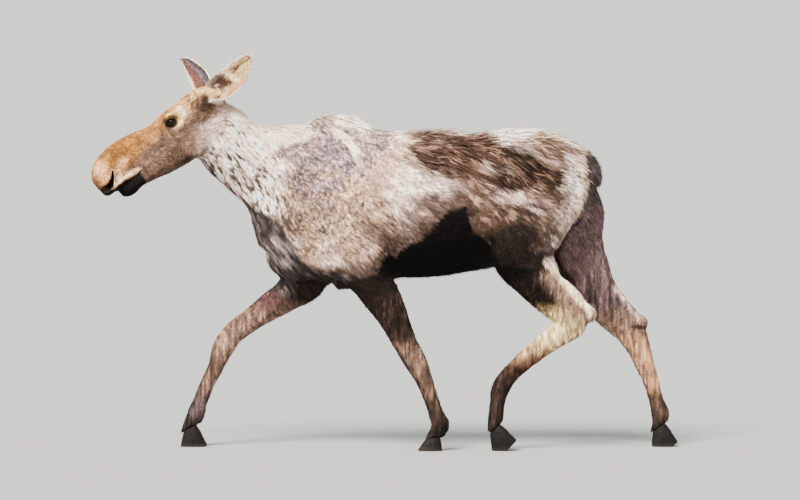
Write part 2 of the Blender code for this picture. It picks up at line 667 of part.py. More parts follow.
def nostril(middle):
    """A comma on the side of the nose, wide below and drawn out up and back."""
    side = math.copysign(1, middle.x)
    sections = (
        section(0, -0.034, -0.026, 0.022, 0.007, 0.007),
        section(0, -0.026, -0.014, 0.026, 0.015, 0.013),
        section(0, -0.008, 0.002, 0.024, 0.012, 0.012),
        section(side * -0.004, 0.014, 0.016, 0.022, 0.008, 0.008),
        section(side * -0.010, 0.034, 0.022, 0.018, 0.004, 0.004),
    )
    obj = loft("nostril", sections, around=10, steps=1)
    obj.data.transform(head_matrix() @ Matrix.Translation(middle))
    return obj


def tail(flesh):
    sections = (
        section(0, 0.975, 1.500, 0.026, 0.020, 0.024),
        section(0, 1.018, 1.468, 0.032, 0.024, 0.026),
        section(0, 1.052, 1.425, 0.035, 0.024, 0.030),
        section(0, 1.072, 1.378, 0.032, 0.021, 0.030),
        section(0, 1.080, 1.345, 0.026, 0.016, 0.024),
        section(0, 1.080, 1.428 - TAIL_LENGTH, 0.012, 0.007, 0.012),
    )
    obj = loft("tail", sections, around=12, steps=2)
    return main_piece(cut(obj, [grown(flesh, FIT)]), "tail")


def nearest_name(obj, lengths):
    corners = np.array([vertex.co for vertex in obj.data.vertices])
    middle = (corners.max(axis=0) + corners.min(axis=0)) / 2
    return min(lengths, key=lambda name: np.linalg.norm(np.array(lengths[name]) - middle))


def part_flesh(flesh):
    blades = [blade(*shape) for shape in BLADES.values()]
    blades += [head_blade(*shape) for shape in HEAD_BLADES.values()]
    blades += [foot_block(leg) for leg in FEET]
    lengths = dict(LENGTHS)
    for name, place in HEAD_LENGTHS.items():
        lengths[name] = tuple(head_matrix() @ Vector(place))
    named = {}
    for obj in pieces(cut(flesh, blades)):
        name = nearest_name(obj, lengths)
        if name in named:
            bpy.data.objects.remove(obj)
            continue
        obj.name = name
        named[name] = obj
    return named


def build_moose():
    flesh = whole_flesh()
    fitted = [ear(name, *shape, flesh) for name, shape in EARS.items()]
    fitted.append(tail(flesh))
    for leg in FEET:
        place = leg.split("_")[1] + "_{}_" + leg.split("_")[0]
        for side, which in ((1, "a"), (-1, "b")):
            fitted.append(claw(place.format("claw") + "_" + which, leg, side))
            fitted.append(dew_claw(place.format("dew_claw") + "_" + which, leg, side, flesh))
    sockets = []
    for name, middle in EYE_MIDDLES.items():
        fitted.append(eyeball(name, middle, EYE_RADIUS))
        sockets.append(eyeball("socket", middle, EYE_RADIUS + 1.5 * FIT))
    cut(flesh, sockets + [nostril(middle) for middle in NOSTRILS])
    return [tidy(obj) for obj in [*part_flesh(flesh).values(), *fitted]]


def material_for(name):
    kind = max((key for key in COATS if key in name), key=len)
    slot, colour = COATS[kind]
    material = bpy.data.materials.get(slot)
    if material is None:
        material = bpy.data.materials.new(slot)
        material.use_nodes = True
        shader = material.node_tree.nodes["Principled BSDF"]
        shader.inputs["Base Color"].default_value = (*colour, 1)
        shader.inputs["Roughness"].default_value = ROUGHNESS.get(kind, 0.85)
        shader.inputs["Metallic"].default_value = 0
    return material


def gather(objects):
    """Puts the pieces in one collection, coloured, with the origin below the middle of the whole moose."""
    moose = bpy.data.collections.new("moose")
    bpy.context.scene.collection.children.link(moose)
    corners = np.array([vertex.co for obj in objects for vertex in obj.data.vertices])
    low, high = corners.min(axis=0), corners.max(axis=0)
    shift = -Vector(((low[0] + high[0]) / 2, (low[1] + high[1]) / 2, low[2]))
    for obj in objects:
        obj.data.transform(Matrix.Translation(shift))
        bpy.context.scene.collection.objects.unlink(obj)
        moose.objects.link(obj)
        obj.data.materials.clear()
        obj.data.materials.append(material_for(obj.name))


if __name__ == "__main__":
    clear_scene()
    gather(build_moose())
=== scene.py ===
import contextlib
import functools
import itertools
import math
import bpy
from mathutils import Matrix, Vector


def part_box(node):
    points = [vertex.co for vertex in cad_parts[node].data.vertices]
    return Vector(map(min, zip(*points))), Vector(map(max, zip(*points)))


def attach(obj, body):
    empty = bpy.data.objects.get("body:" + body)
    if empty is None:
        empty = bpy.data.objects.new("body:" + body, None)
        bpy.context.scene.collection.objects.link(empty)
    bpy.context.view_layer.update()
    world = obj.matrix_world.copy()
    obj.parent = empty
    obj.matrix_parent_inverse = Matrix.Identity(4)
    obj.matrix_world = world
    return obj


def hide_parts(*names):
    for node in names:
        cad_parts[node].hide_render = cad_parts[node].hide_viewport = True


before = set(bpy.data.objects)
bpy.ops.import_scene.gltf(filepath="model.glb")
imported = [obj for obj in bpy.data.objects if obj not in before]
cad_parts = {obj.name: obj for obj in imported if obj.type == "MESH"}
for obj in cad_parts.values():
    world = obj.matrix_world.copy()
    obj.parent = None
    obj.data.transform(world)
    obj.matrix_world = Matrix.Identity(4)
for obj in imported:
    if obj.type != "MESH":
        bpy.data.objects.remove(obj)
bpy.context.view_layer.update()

from types import SimpleNamespace

import bmesh
import bpy
import numpy as np
from bpy.props import FloatProperty, FloatVectorProperty, PointerProperty
from mathutils import Matrix, Vector
from mathutils.kdtree import KDTree

bl_info = {
    "name": "Moose",
    "version": (1, 0, 0),
    "blender": (4, 5, 0),
    "location": "3D View > Sidebar > Moose",
    "description": "Dresses the parted solids of a cow moose with one skin, a moulting coat, eyes and hooves",
    "category": "Object",
}

# The head's own frame is level, nose towards -Y. It is pitched nose down, turned to the left, and set so that
# the eyes come to EYE_MIDDLE and its mirror image.
HEAD_PITCH = math.radians(32.5)
HEAD_YAW = math.radians(14)
HEAD_TURN = Matrix.Rotation(HEAD_YAW, 3, "Z") @ Matrix.Rotation(HEAD_PITCH, 3, "X")
EYE_MIDDLE = np.array(Vector((0.0775, -0.22, 0.0765)))  # the left eye's, in the head's frame


def box_middle(node):
    low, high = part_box(node)
    return (low + high) / 2


EYES = {side: box_middle(f"eye_{side}") for side in ("left", "right")}
EYE_RADIUS = (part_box("eye_left")[1].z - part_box("eye_left")[0].z) / 2
HEAD_AT = (EYES["left"] + EYES["right"]) / 2 - HEAD_TURN @ Vector((0, *EYE_MIDDLE[1:]))

FLESH = sorted(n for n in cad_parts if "eye" not in n and "claw" not in n)
BODY_FLESH = [n for n in FLESH if not n.startswith("ear")]


# ---- sizes ----


class MooseSizes(bpy.types.PropertyGroup):
    """Sizes a user would change."""

    grain: FloatProperty(
        name="Grain", description="Size of the skin's faces on the trunk", default=0.0105, unit="LENGTH"
    )
    ear_grain: FloatProperty(
        name="Ear grain", description="Size of the skin's faces on the ears", default=0.0032, unit="LENGTH"
    )


def colour(name, red, green, blue, description):
    return FloatVectorProperty(
        name=name, description=description, subtype="COLOR", size=3, min=0, max=1, default=(red, green, blue)
    )


class MooseColours(bpy.types.PropertyGroup):
    """Colours of the coat, skin, eyes and horn."""

    # Several of these also paint light and shade: white, beige, cream and rosy white paint highlights, and
    # black, brown, dark brown and taupe paint shade; the places that use them say which.
    white: colour("White", 0.92, 0.72, 0.58, "Bleached hair on the hip, the ribs and the gaskin")
    cream: colour("Cream", 0.72, 0.48, 0.2, "Ear rims, hocks and the ring round the eye")
    rosy_white: colour("Rosy white", 0.9, 0.64, 0.53, "Old winter hair of the neck")
    beige: colour("Beige", 0.42, 0.265, 0.185, "Ribs and lower shoulder")
    taupe: colour("Taupe", 0.115, 0.068, 0.046, "Cheeks, knees and rump")
    tan: colour("Tan", 0.215, 0.095, 0.027, "Bridge of the nose")
    slate: colour("Slate", 0.205, 0.14, 0.145, "New short hair where the old coat has gone")
    dark_slate: colour("Dark slate", 0.05, 0.038, 0.035, "Breast and the back of the rump")
    rosy_brown: colour("Rosy brown", 0.055, 0.034, 0.033, "Thin-haired skin inside the thighs")
    brown: colour("Brown", 0.04, 0.021, 0.014, "Long hair of the back and rump")
    dark_brown: colour("Dark brown", 0.012, 0.007, 0.005, "Upper legs")
    black: colour("Black", 0.002, 0.0015, 0.0012, "Belly, chin, lids and lashes")
    horn: colour("Horn", 0.0055, 0.0045, 0.004, "Hooves and dew claws")


# ---- arrays and meshes ----


def read(items, field, width, kind=np.float32):
    """One value or vector for each vertex, edge or triangle of a mesh."""
    values = np.empty(len(items) * width, kind)
    items.foreach_get(field, values)
    return values.reshape(-1, width)


def points_of(mesh):
    return read(mesh.vertices, "co", 3).astype(float)


def normals_of(mesh):
    return read(mesh.vertices, "normal", 3).astype(float)


def edges_of(mesh):
    return read(mesh.edges, "vertices", 2, np.int32)


def faces_of(mesh):
    """The mesh's triangles, as numbers of their vertices."""
    mesh.calc_loop_triangles()
    return read(mesh.loop_triangles, "vertices", 3, np.int32)


def set_points(mesh, points):
    mesh.vertices.foreach_set("co", points.astype(np.float32).ravel())
    mesh.update()


def unit(vectors):
    return vectors / np.maximum(np.linalg.norm(vectors, axis=1, keepdims=True), 1e-12)


def drawn_together(values, edges, passes, share=0.5):
    """Values at the vertices, each drawn towards the mean of its neighbours', pass after pass."""
    first, second = edges.T
    size = len(values)
    count = np.maximum(np.bincount(edges.ravel(), minlength=size), 1)
    flat = values.reshape(size, -1)
    for _ in range(passes):
        mean = np.empty_like(flat)
        for column in range(flat.shape[1]):
            value = flat[:, column]
            mean[:, column] = np.bincount(first, value[second], size)
            mean[:, column] += np.bincount(second, value[first], size)
        flat = flat + share * (mean / count[:, None] - flat)
    return flat.reshape(values.shape)


STEP_IN, STEP_OUT = 0.6, 0.615


def rounded(points, edges, passes):
    """Smooths away facets and keeps the volume: a step in, then a slightly longer step out."""
    for _ in range(passes):
        points = drawn_together(points, edges, 1, STEP_IN)
        points = drawn_together(points, edges, 1, -STEP_OUT)
    return points


def new_object(name, data):
    obj = bpy.data.objects.new(name, data)
    bpy.context.scene.collection.objects.link(obj)
    return obj


def paint(mesh, layer, colours):
    """Colours at the vertices, in a named layer that a material reads."""
    painted = np.ones((len(colours), 4), np.float32)
    painted[:, :3] = colours
    mesh.color_attributes.new(layer, "FLOAT_COLOR", "POINT").data.foreach_set("color", painted.ravel())


def finished(name, mesh, material):
    """An object of a smooth mesh in one material."""
    mesh.polygons.foreach_set("use_smooth", np.ones(len(mesh.polygons), bool))
    mesh.materials.clear()
    mesh.materials.append(material)
    return new_object(name, mesh)


@contextlib.contextmanager
def editing(mesh):
    """The mesh as a bmesh, written back at the end."""
    whole = bmesh.new()
    whole.from_mesh(mesh)
    yield whole
    whole.to_mesh(mesh)
    whole.free()


def tree_of(points):
    tree = KDTree(len(points))
    for i, point in enumerate(points):
        tree.insert(point, i)
    tree.balance()
    return tree


def evaluated(obj):
    """A plain mesh of an object with its modifiers, which takes the object's place."""
    graph = bpy.context.evaluated_depsgraph_get()
    mesh = bpy.data.meshes.new_from_object(obj.evaluated_get(graph))
    bpy.data.objects.remove(obj)
    return mesh


def joined_nodes(names, push):
    """The solids of several nodes in one mesh, each grown a little so that neighbours overlap."""
    mesh = bpy.data.meshes.new("flesh")
    with editing(mesh) as whole:
        for name in names:
            start = len(whole.verts)
            whole.from_mesh(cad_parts[name].data)
            whole.verts.ensure_lookup_table()
            bmesh.ops.remove_doubles(whole, verts=whole.verts[start:], dist=1e-5)
        whole.normal_update()
        for vert in whole.verts:
            vert.co += vert.normal * push
    return mesh


def remeshed(mesh, grain):
    obj = new_object("remesh", mesh)
    modifier = obj.modifiers.new("voxels", "REMESH")
    modifier.mode = "VOXEL"
    modifier.voxel_size = grain
    return evaluated(obj)


def in_head_frame(points):
    return (points - np.array(HEAD_AT)) @ np.array(HEAD_TURN)


def from_head_frame(points):
    return points @ np.array(HEAD_TURN).T + np.array(HEAD_AT)


# ---- finishes ----


class Shade:
    """A socket in a material's maths: Python's operators on it add Math nodes."""

    def __init__(self, finish, socket):
        self.finish = finish
        self.socket = socket

    def maths(self, operation, first, second):
        return self.finish.node("ShaderNodeMath", {"operation": operation}, {0: first, 1: second})

    def __add__(self, other):
        return self.maths("ADD", self, other)

    def __sub__(self, other):
        return self.maths("SUBTRACT", self, other)

    def __rsub__(self, other):
        return self.maths("SUBTRACT", other, self)

    def __mul__(self, other):
        return self.maths("MULTIPLY", self, other)

    __radd__ = __add__
    __rmul__ = __mul__


class Finish:
    """A material: even values set on its shader's own sockets, and nodes for what varies over the surface."""

    def __init__(self, name, **even):
        self.material = bpy.data.materials.new(name)
        self.material.use_nodes = True
        self.tree = self.material.node_tree
        self.shader = self.tree.nodes["Principled BSDF"]
        for socket, value in even.items():
            self.vary(socket.replace("_", " "), value)

    def node(self, kind, settings=None, inputs=None, output=0):
        """Any node: its settings first, then the values or links of its sockets."""
        node = self.tree.nodes.new(kind)
        for name, value in (settings or {}).items():
            setattr(node, name, value)
        for place, value in (inputs or {}).items():
            self.feed(node.inputs[place], value)
        return Shade(self, node.outputs[output])

    def feed(self, socket, value):
        if isinstance(value, Shade):
            self.tree.links.new(value.socket, socket)
        else:
            socket.default_value = value

    def vary(self, socket, value):
        self.feed(self.shader.inputs[socket], value)

    def mixed(self, share, first, second, way="MIX"):
        """Two colours, one over the other."""
        settings = {"data_type": "RGBA", "blend_type": way}
        return self.node("ShaderNodeMix", settings, {0: share, 6: first, 7: second}, 2)

    def painted(self, layer):
        return self.node("ShaderNodeVertexColor", {"layer_name": layer})

    def place(self):
        """Where a point of the surface is, in metres."""
        return self.node("ShaderNodeTexCoord", output=3)

    def stretched(self, place, by):
        return self.node("ShaderNodeVectorMath", {"operation": "MULTIPLY"}, {0: place, 1: by})

    def grain(self, place, scale, detail=2.0):
        return self.node("ShaderNodeTexNoise", None, {"Vector": place, "Scale": scale, "Detail": detail})

    def step(self, value, start, end):
        """0 at the start and 1 at the end."""
        return self.node("ShaderNodeMapRange", None, {"Value": value, "From Min": start, "From Max": end})

    def bump(self, height, depth):
        inputs = {"Height": height, "Distance": depth, "Strength": 1.0}
        self.vary("Normal", self.node("ShaderNodeBump", None, inputs))


def hair_finish():
    """Fine strands along each tuft, over the coat's own colours."""
    hair = Finish("moose_hair", Specular_IOR_Level=0.08)
    along = hair.node("ShaderNodeUVMap", {"uv_map": "OFBake"})
    strands = hair.grain(hair.stretched(along, (3000, 380, 1)), 1.0, 1.0)
    hair.vary("Base Color", hair.mixed(1.0, hair.painted("coat"), strands * 1.1 + 0.47, "MULTIPLY"))
    hair.vary("Roughness", 0.85 - 0.3 * strands)
    hair.bump(strands, 0.0005)
    return hair.material


def skin_finish():
    """Short flat underfur: the coat's colours, broken by fine grain."""
    fur = Finish("moose_underfur", Specular_IOR_Level=0.08)
    grain = fur.grain(fur.stretched(fur.place(), (1, 1, 0.5)), 420.0)
    fur.vary("Base Color", fur.mixed(1.0, fur.painted("coat"), grain * 1.2 + 0.35, "MULTIPLY"))
    fur.vary("Roughness", 0.9 - 0.2 * grain)
    fur.bump(grain, 0.0012)
    return fur.material


def eye_finish():
    """A dark wet ball: faint threads in the iris, and a clear coat that takes one highlight."""
    eye = Finish("eyeball_wet", Specular_IOR_Level=0.03, Coat_Weight=0.6, Coat_Roughness=0.03, Coat_IOR=1.2)
    threads = eye.grain(eye.place(), 1800.0)
    eye.vary("Base Color", eye.mixed(1.0, eye.painted("iris"), threads * 0.8 + 0.2, "MULTIPLY"))
    eye.vary("Roughness", 0.1 + 0.1 * threads)
    return eye.material


def lash_finish(tint):
    lash = Finish("lash_hair", Specular_IOR_Level=0.2)
    grain = lash.grain(lash.place(), 900.0)
    lash.vary("Base Color", lash.mixed(grain, (*(tint * 3), 1), (*tint, 1)))
    lash.vary("Roughness", 0.4 + 0.3 * grain)
    return lash.material


def horn_finish(tint):
    """Dark horn: growth rings round the wall, streaks down it, and a dry worn edge at the ground."""
    horn = Finish("hoof_horn", Specular_IOR_Level=0.08)
    place = horn.place()
    height = horn.node("ShaderNodeSeparateXYZ", None, {0: place}, 2)
    rings = horn.grain(horn.stretched(place, (10, 10, 210)), 1.0)
    streaks_down = horn.grain(horn.stretched(place, (260, 260, 16)), 1.0)
    worn = (1 - horn.step(height, 0.002, 0.022)) * streaks_down
    colour = horn.mixed(streaks_down, (*(tint * 0.45), 1), (*(tint * 1.7), 1))
    horn.vary("Base Color", horn.mixed(worn, colour, (0.03, 0.025, 0.02, 1)))
    horn.vary("Roughness", 0.42 + 0.25 * rings + 0.25 * worn)
    horn.bump(rings * 0.8 + streaks_down * 0.2, 0.003)
    return horn.material


# ---- skin ----


def nearest_parts(points):
    """For each point, which node of flesh it belongs to, as a number in FLESH."""
    places = []
    owners = []
    for number, name in enumerate(FLESH):
        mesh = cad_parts[name].data
        corners = points_of(mesh)
        mesh.calc_loop_triangles()
        for triangle in mesh.loop_triangles:
            a, b, c = (corners[i] for i in triangle.vertices)
            steps = max(1, int(max(np.linalg.norm(b - a), np.linalg.norm(c - a)) / 0.03))
            for i in range(steps):
                for j in range(steps - i):
                    u, v = (i + 1 / 3) / steps, (j + 1 / 3) / steps
                    places.append(a + (b - a) * u + (c - a) * v)
                    owners.append(number)
    tree = tree_of(places)
    return np.array([owners[tree.find(point)[1]] for point in points])


def subdivide(mesh, chosen):
    """Halves the edges between chosen vertices."""
    with editing(mesh) as fine:
        edges = [e for e in fine.edges if chosen[e.verts[0].index] and chosen[e.verts[1].index]]
        bmesh.ops.subdivide_edges(fine, edges=edges, cuts=1, use_grid_fill=True)
        bmesh.ops.triangulate(fine, faces=[f for f in fine.faces if len(f.verts) > 4])


def fall(distance, reach):
    """1 in the middle, easing to 0 at the reach."""
    return np.clip(1 - (distance / reach) ** 2, 0, 1) ** 2


def bell(distance, width):
    """1 in the middle, falling away on both sides like a bell."""
    return np.exp(-((distance / width) ** 2))


def to_line(points, line):
    """Distance to a line through several places, and how far along it the nearest place is, 0 to 1."""
    best = np.full(len(points), np.inf)
    along = np.zeros(len(points))
    count = len(line) - 1
    for i in range(count):
        start, way = np.array(line[i]), np.array(line[i + 1]) - np.array(line[i])
        share = np.clip((points - start) @ way / (way @ way), 0, 1)
        distance = np.linalg.norm(points - start - share[:, None] * way, axis=1)
        nearer = distance < best
        best[nearer] = distance[nearer]
        along[nearer] = (i + share[nearer]) / count
    return best, along


def side_gap(points, line):
    """Distance to a line of (y, z) places, seen from the side."""
    return to_line(points * (0, 1, 1), [(0, *place) for place in line])[0]


# Forms of the head, all in its own frame and the same on both sides: a line, how wide, how far it stands out
TEAR_LINE = ((0.081, -0.262, 0.072), (0.087, -0.257, 0.039), (0.083, -0.252, -0.011), (0.077, -0.249, -0.06))
HEAD_FORMS = (
    ("tear groove", TEAR_LINE, 0.005, -0.005),
    ("behind the tear groove", tuple((x, y + 0.01, z) for x, y, z in TEAR_LINE), 0.008, 0.0015),
    ("cheekbone", ((0.09, -0.265, 0.04), (0.096, -0.18, 0.036), (0.092, -0.08, 0.05)), 0.016, 0.004),
    ("chewing muscle", ((0.08, -0.15, -0.04), (0.075, -0.11, -0.08)), 0.045, 0.006),
    ("jaw edge", ((0.055, -0.33, -0.11), (0.062, -0.2, -0.128), (0.06, -0.11, -0.13)), 0.014, 0.003),
    ("hollow under the cheekbone", ((0.085, -0.3, 0.0), (0.085, -0.23, -0.01)), 0.022, -0.003),
    ("hollow before the eye", ((0.068, -0.33, 0.07), (0.066, -0.38, 0.06)), 0.024, -0.004),
    ("brow", ((0.078, -0.245, 0.108), (0.092, -0.215, 0.116), (0.094, -0.185, 0.106)), 0.012, 0.005),
    ("temple", ((0.08, -0.14, 0.1), (0.08, -0.09, 0.1)), 0.022, -0.004),
    ("nose bone", ((0.034, -0.28, 0.122), (0.036, -0.4, 0.11), (0.034, -0.5, 0.108)), 0.014, 0.002),
    ("lip fold", ((0.066, -0.612, -0.022), (0.066, -0.56, -0.02), (0.06, -0.48, -0.016)), 0.008, -0.004),
    ("upper lip", ((0.05, -0.625, -0.044), (0.056, -0.56, -0.038), (0.052, -0.48, -0.034)), 0.011, 0.004),
    ("corner of the mouth", ((0.052, -0.48, -0.04), (0.056, -0.462, -0.036)), 0.008, -0.003),
    ("chin", ((0.034, -0.58, -0.086), (0.036, -0.52, -0.09)), 0.014, 0.003),
    ("middle of the nose", ((0.0, -0.7, 0.03), (0.0, -0.69, -0.06)), 0.007, -0.004),
)
# Where the tip of the nose is drawn out: a line across it, which way, how far and how wide
NOSE_PUSHES = (
    (((0, -0.674, -0.022), (0.048, -0.666, -0.022)), (0, -0.46, -0.88), 0.036, 0.036),
    (((0, -0.704, -0.022), (0.044, -0.698, -0.022)), (0, -0.42, -0.9), 0.015, 0.026),
)
MOUTH = (
    (0.05, -0.64, -0.062),
    (0.05, -0.612, -0.046),
    (0.05, -0.569, -0.044),
    (0.05, -0.534, -0.053),
    (0.05, -0.505, -0.054),
    (0.05, -0.47, -0.045),
)
NOSE_MIDDLE = (0.064, -0.65, 0.01)
NOSTRIL = (
    (0.046, -0.69, -0.024),
    (0.056, -0.666, -0.028),
    (0.062, -0.642, -0.021),
    (0.067, -0.623, -0.003),
    (0.069, -0.609, 0.013),
    (0.07, -0.6, 0.03),
)
NOSTRIL_HALF_WIDTHS = (0.012, 0.016, 0.014, 0.0085, 0.006, 0.0042)
EYE_OUT = np.array(Vector((0.94, -0.24, 0.24)).normalized())
FORWARD = Vector((0, -1, 0))
EYE_LONG = np.array((FORWARD - FORWARD.dot(Vector(EYE_OUT)) * Vector(EYE_OUT)).normalized())
EYE_UP = np.cross(EYE_LONG, EYE_OUT)
OPENING = (0.0225, 0.0128)  # half length and half height of the opening between the lids
LID = 0.0026  # how thick the lids are
LID_EASE = 0.0055  # how softly they go over into the cheek
EYEBALL_SET_BACK = 0.006  # how far behind the ball's surface the skin lies between the lids
# How near the eye, the nostril and the mouth the skin is halved once more, and then again
HEAD_REFINED = ((0.055, 0.035, 0.022), (0.042, 0.02, 0))
HEAD_MIDDLE = (0, -0.335, 0)
HEAD_HALF_SIZES = (0.16, 0.385, 0.2)
HEAD_PARTS = [FLESH.index(name) for name in ("head", "muzzle", "lower_jaw")]


def one_sided(head_points):
    """Points of both sides of the head, all brought to its left side."""
    return np.hstack((np.abs(head_points[:, :1]), head_points[:, 1:]))


def eye_frame(points):
    """Points near the left eye as: along the opening, up across it, and out of the head."""
    offset = points - EYE_MIDDLE
    return offset @ EYE_LONG, offset @ EYE_UP, offset @ EYE_OUT


NOSTRIL_WAY = np.array(Vector((-0.8, 0.45, 0.1)).normalized())


def nostril_share(side):
    """Below 1 inside the nostril, however deep, and how far along it, from its lip to its tail."""
    flat = np.eye(3) - np.outer(NOSTRIL_WAY, NOSTRIL_WAY)
    distance, along = to_line(side @ flat, np.array(NOSTRIL) @ flat)
    radius = np.interp(along, np.linspace(0, 1, len(NOSTRIL)), NOSTRIL_HALF_WIDTHS)
    deep = (side - np.array(NOSTRIL).mean(axis=0)) @ NOSTRIL_WAY
    return np.where(deep < 0.06, distance / radius, 9), along, radius


def opening_share(along, up):
    """Below 1 between the lids: pointed at both corners, and a little higher above than below."""
    length, height = OPENING
    bow = np.clip(1 - np.abs(along / length) ** 2.0, 0, None) ** 0.75
    half = height * bow * np.where(up > 0, 1.08, 0.92)
    return np.abs(up) / np.maximum(half, 1e-5)


def sculpt_head(points, edges, triangles):
    """Moves the head's points, in its own frame: nostrils, mouth, lids, and the forms of bone and muscle."""
    mirror = np.where(points[:, :1] < 0, (-1, 1, 1), 1)
    side = one_sided(points)
    filled = drawn_together(side, edges, 90)
    eye_gap = np.linalg.norm(side - EYE_MIDDLE, axis=1)
    nose_gap = np.linalg.norm(side - NOSE_MIDDLE, axis=1)
    pit = np.maximum(fall(eye_gap, 0.06), fall(nose_gap, 0.055))
    side = side + (filled - side) * np.clip(2 * pit, 0, 1)[:, None]

    for line, way, push, width in NOSE_PUSHES:
        side = side + np.array(way) * (push * bell(to_line(side, line)[0], width))[:, None]
    normals = vertex_normals(side, triangles)
    for _, line, width, height in HEAD_FORMS:
        distance, along = to_line(side, line)
        fade = np.clip(1.2 - np.abs(2 * along - 1), 0, 1)
        side = side + normals * (height * bell(distance, width) * (0.4 + 0.6 * fade))[:, None]

    distance = side_gap(side, [(y, z) for _, y, z in MOUTH])
    slit = bell(distance, 0.0042) * np.clip((side[:, 0]) / 0.02, 0, 1)
    side = side - np.array((0.75, 0, -0.05)) * (0.02 * slit)[:, None]

    share, along, radius = nostril_share(side)
    rim = bell(share - 1.5, 0.45) * 0.0022 * np.clip(radius / 0.008, 0.5, 1)
    side = side + normals * rim[:, None]
    hole = np.clip(1.12 - share**2, 0, 1) ** 0.8
    side = side + NOSTRIL_WAY * (1.8 * radius * hole)[:, None]

    along, up, out = eye_frame(side)
    across = np.hypot(along, up)
    lid = np.sqrt(np.maximum((EYE_RADIUS + LID) ** 2 - across**2, 0))
    top = np.maximum(out, lid) + LID_EASE * np.log1p(np.exp(-np.abs(out - lid) / LID_EASE))
    ease = fall(across, EYE_RADIUS + 0.03) ** 0.7
    lifted = out + (top - out) * ease
    share = opening_share(along, up)
    margin = np.exp(-np.clip(share - 1, 0, None) / 0.1)
    lifted = lifted - 0.0022 * margin * (across < EYE_RADIUS)
    inside = np.clip((1.0 - share) / 0.12 + 0.5, 0, 1) * (np.abs(along) < OPENING[0])
    ball = np.sqrt(np.maximum(EYE_RADIUS**2 - across**2, 0))
    lifted = lifted + (ball - EYEBALL_SET_BACK - lifted) * inside
    reach = np.hypot(along / (OPENING[0] * 1.2), up / (OPENING[1] * 1.75))
    fold = bell(reach - 1.0, 0.09) * np.where(up > 0, 0.0026, 0.0012)
    side = side + EYE_OUT * np.where(out > -0.01, lifted - fold - out, 0)[:, None]
    return side * mirror


# Forms of the trunk, the same on both sides: what, a line (y, z), how wide, how far it stands out
BODY_FORMS = (
    ("ridge of the brisket", ((-0.515, 1.19), (-0.485, 1.09), (-0.44, 0.985), (-0.36, 0.915)), 0.02, 0.01),
    ("hollow before it", ((-0.545, 1.13), (-0.52, 1.04), (-0.48, 0.95)), 0.026, -0.009),
    ("shoulder blade", ((-0.14, 1.52), (-0.34, 1.22)), 0.06, 0.008),
    ("hollow behind the shoulder", ((0.02, 1.44), (0.01, 1.15)), 0.06, -0.009),
    ("upper arm", ((-0.3, 1.18), (-0.06, 1.02)), 0.08, 0.01),
    ("fold behind the elbow", ((0.045, 1.06), (0.06, 0.94)), 0.022, -0.008),
    ("hollow of the flank", ((0.5, 1.36), (0.56, 1.2)), 0.075, -0.01),
    ("hip", ((0.6, 1.46), (0.68, 1.42)), 0.055, 0.009),
    ("stifle", ((0.56, 1.08), (0.6, 1.0)), 0.08, 0.009),
    ("groove of the thigh", ((0.94, 1.34), (0.9, 1.2), (0.81, 1.04)), 0.024, -0.006),
)


def vertex_normals(points, triangles):
    a, b, c = (points[triangles[:, i]] for i in range(3))
    flat = np.cross(b - a, c - a)
    total = np.zeros_like(points)
    for column in range(3):
        for corner in range(3):
            total[:, column] += np.bincount(triangles[:, corner], flat[:, column], len(points))
    return unit(total)


# The ears: where each springs from, seen from HEAD_AT, which way it points and which way its hollow faces
EARS = {
    "ear_left": ((0.0647, 0.02, 0.096), (0.1, 0.165, 0.172), (0.7, -0.68, 0.1)),
    "ear_right": ((-0.0783, -0.0359, 0.083), (-0.14, -0.128, 0.192), (0.66, -0.73, 0.1)),
}
POLL = (0, 0.02, 0.09)  # between the ears
EAR_LENGTH = 0.262
EAR_SUNK = 0.046  # how far its tube runs into the head
EAR_FLARE = 0.03  # how far below its root it starts to widen
EAR_PLACES = (0, 0.08, 0.2, 0.35, 0.5, 0.63, 0.75, 0.85, 0.93, 0.975, 1)  # from the root to the tip
EAR_HALF_WIDTHS = (0.038, 0.06, 0.074, 0.079, 0.078, 0.071, 0.06, 0.048, 0.036, 0.024, 0.006)


def ear_ways(name):
    """An ear's root, and the ways along it, into its hollow and across it."""
    root, way, hollow = (Vector(values) for values in EARS[name])
    axis = way.normalized()
    inward = (hollow - hollow.dot(axis) * axis).normalized()
    return HEAD_AT + root, axis, inward, axis.cross(inward)


def ear_half_width(leaf, name):
    """Half the width of an ear; the far one is seen edge on and draws to a finer tip."""
    finer = 0 if name == "ear_left" else 0.34
    return np.interp(leaf, EAR_PLACES, EAR_HALF_WIDTHS) * (1 - finer * leaf)


def ear_place(points, name):
    """How far along an ear each point lies, 0 to 1, and how far across it, -1 to 1 from edge to edge."""
    root, axis, _, side = (np.array(value) for value in ear_ways(name))
    reach = (points - root) @ axis
    leaf = np.clip((reach + EAR_FLARE) / (EAR_LENGTH + EAR_FLARE), 0, 1)
    return reach / EAR_LENGTH, (points - root) @ side / ear_half_width(leaf, name)


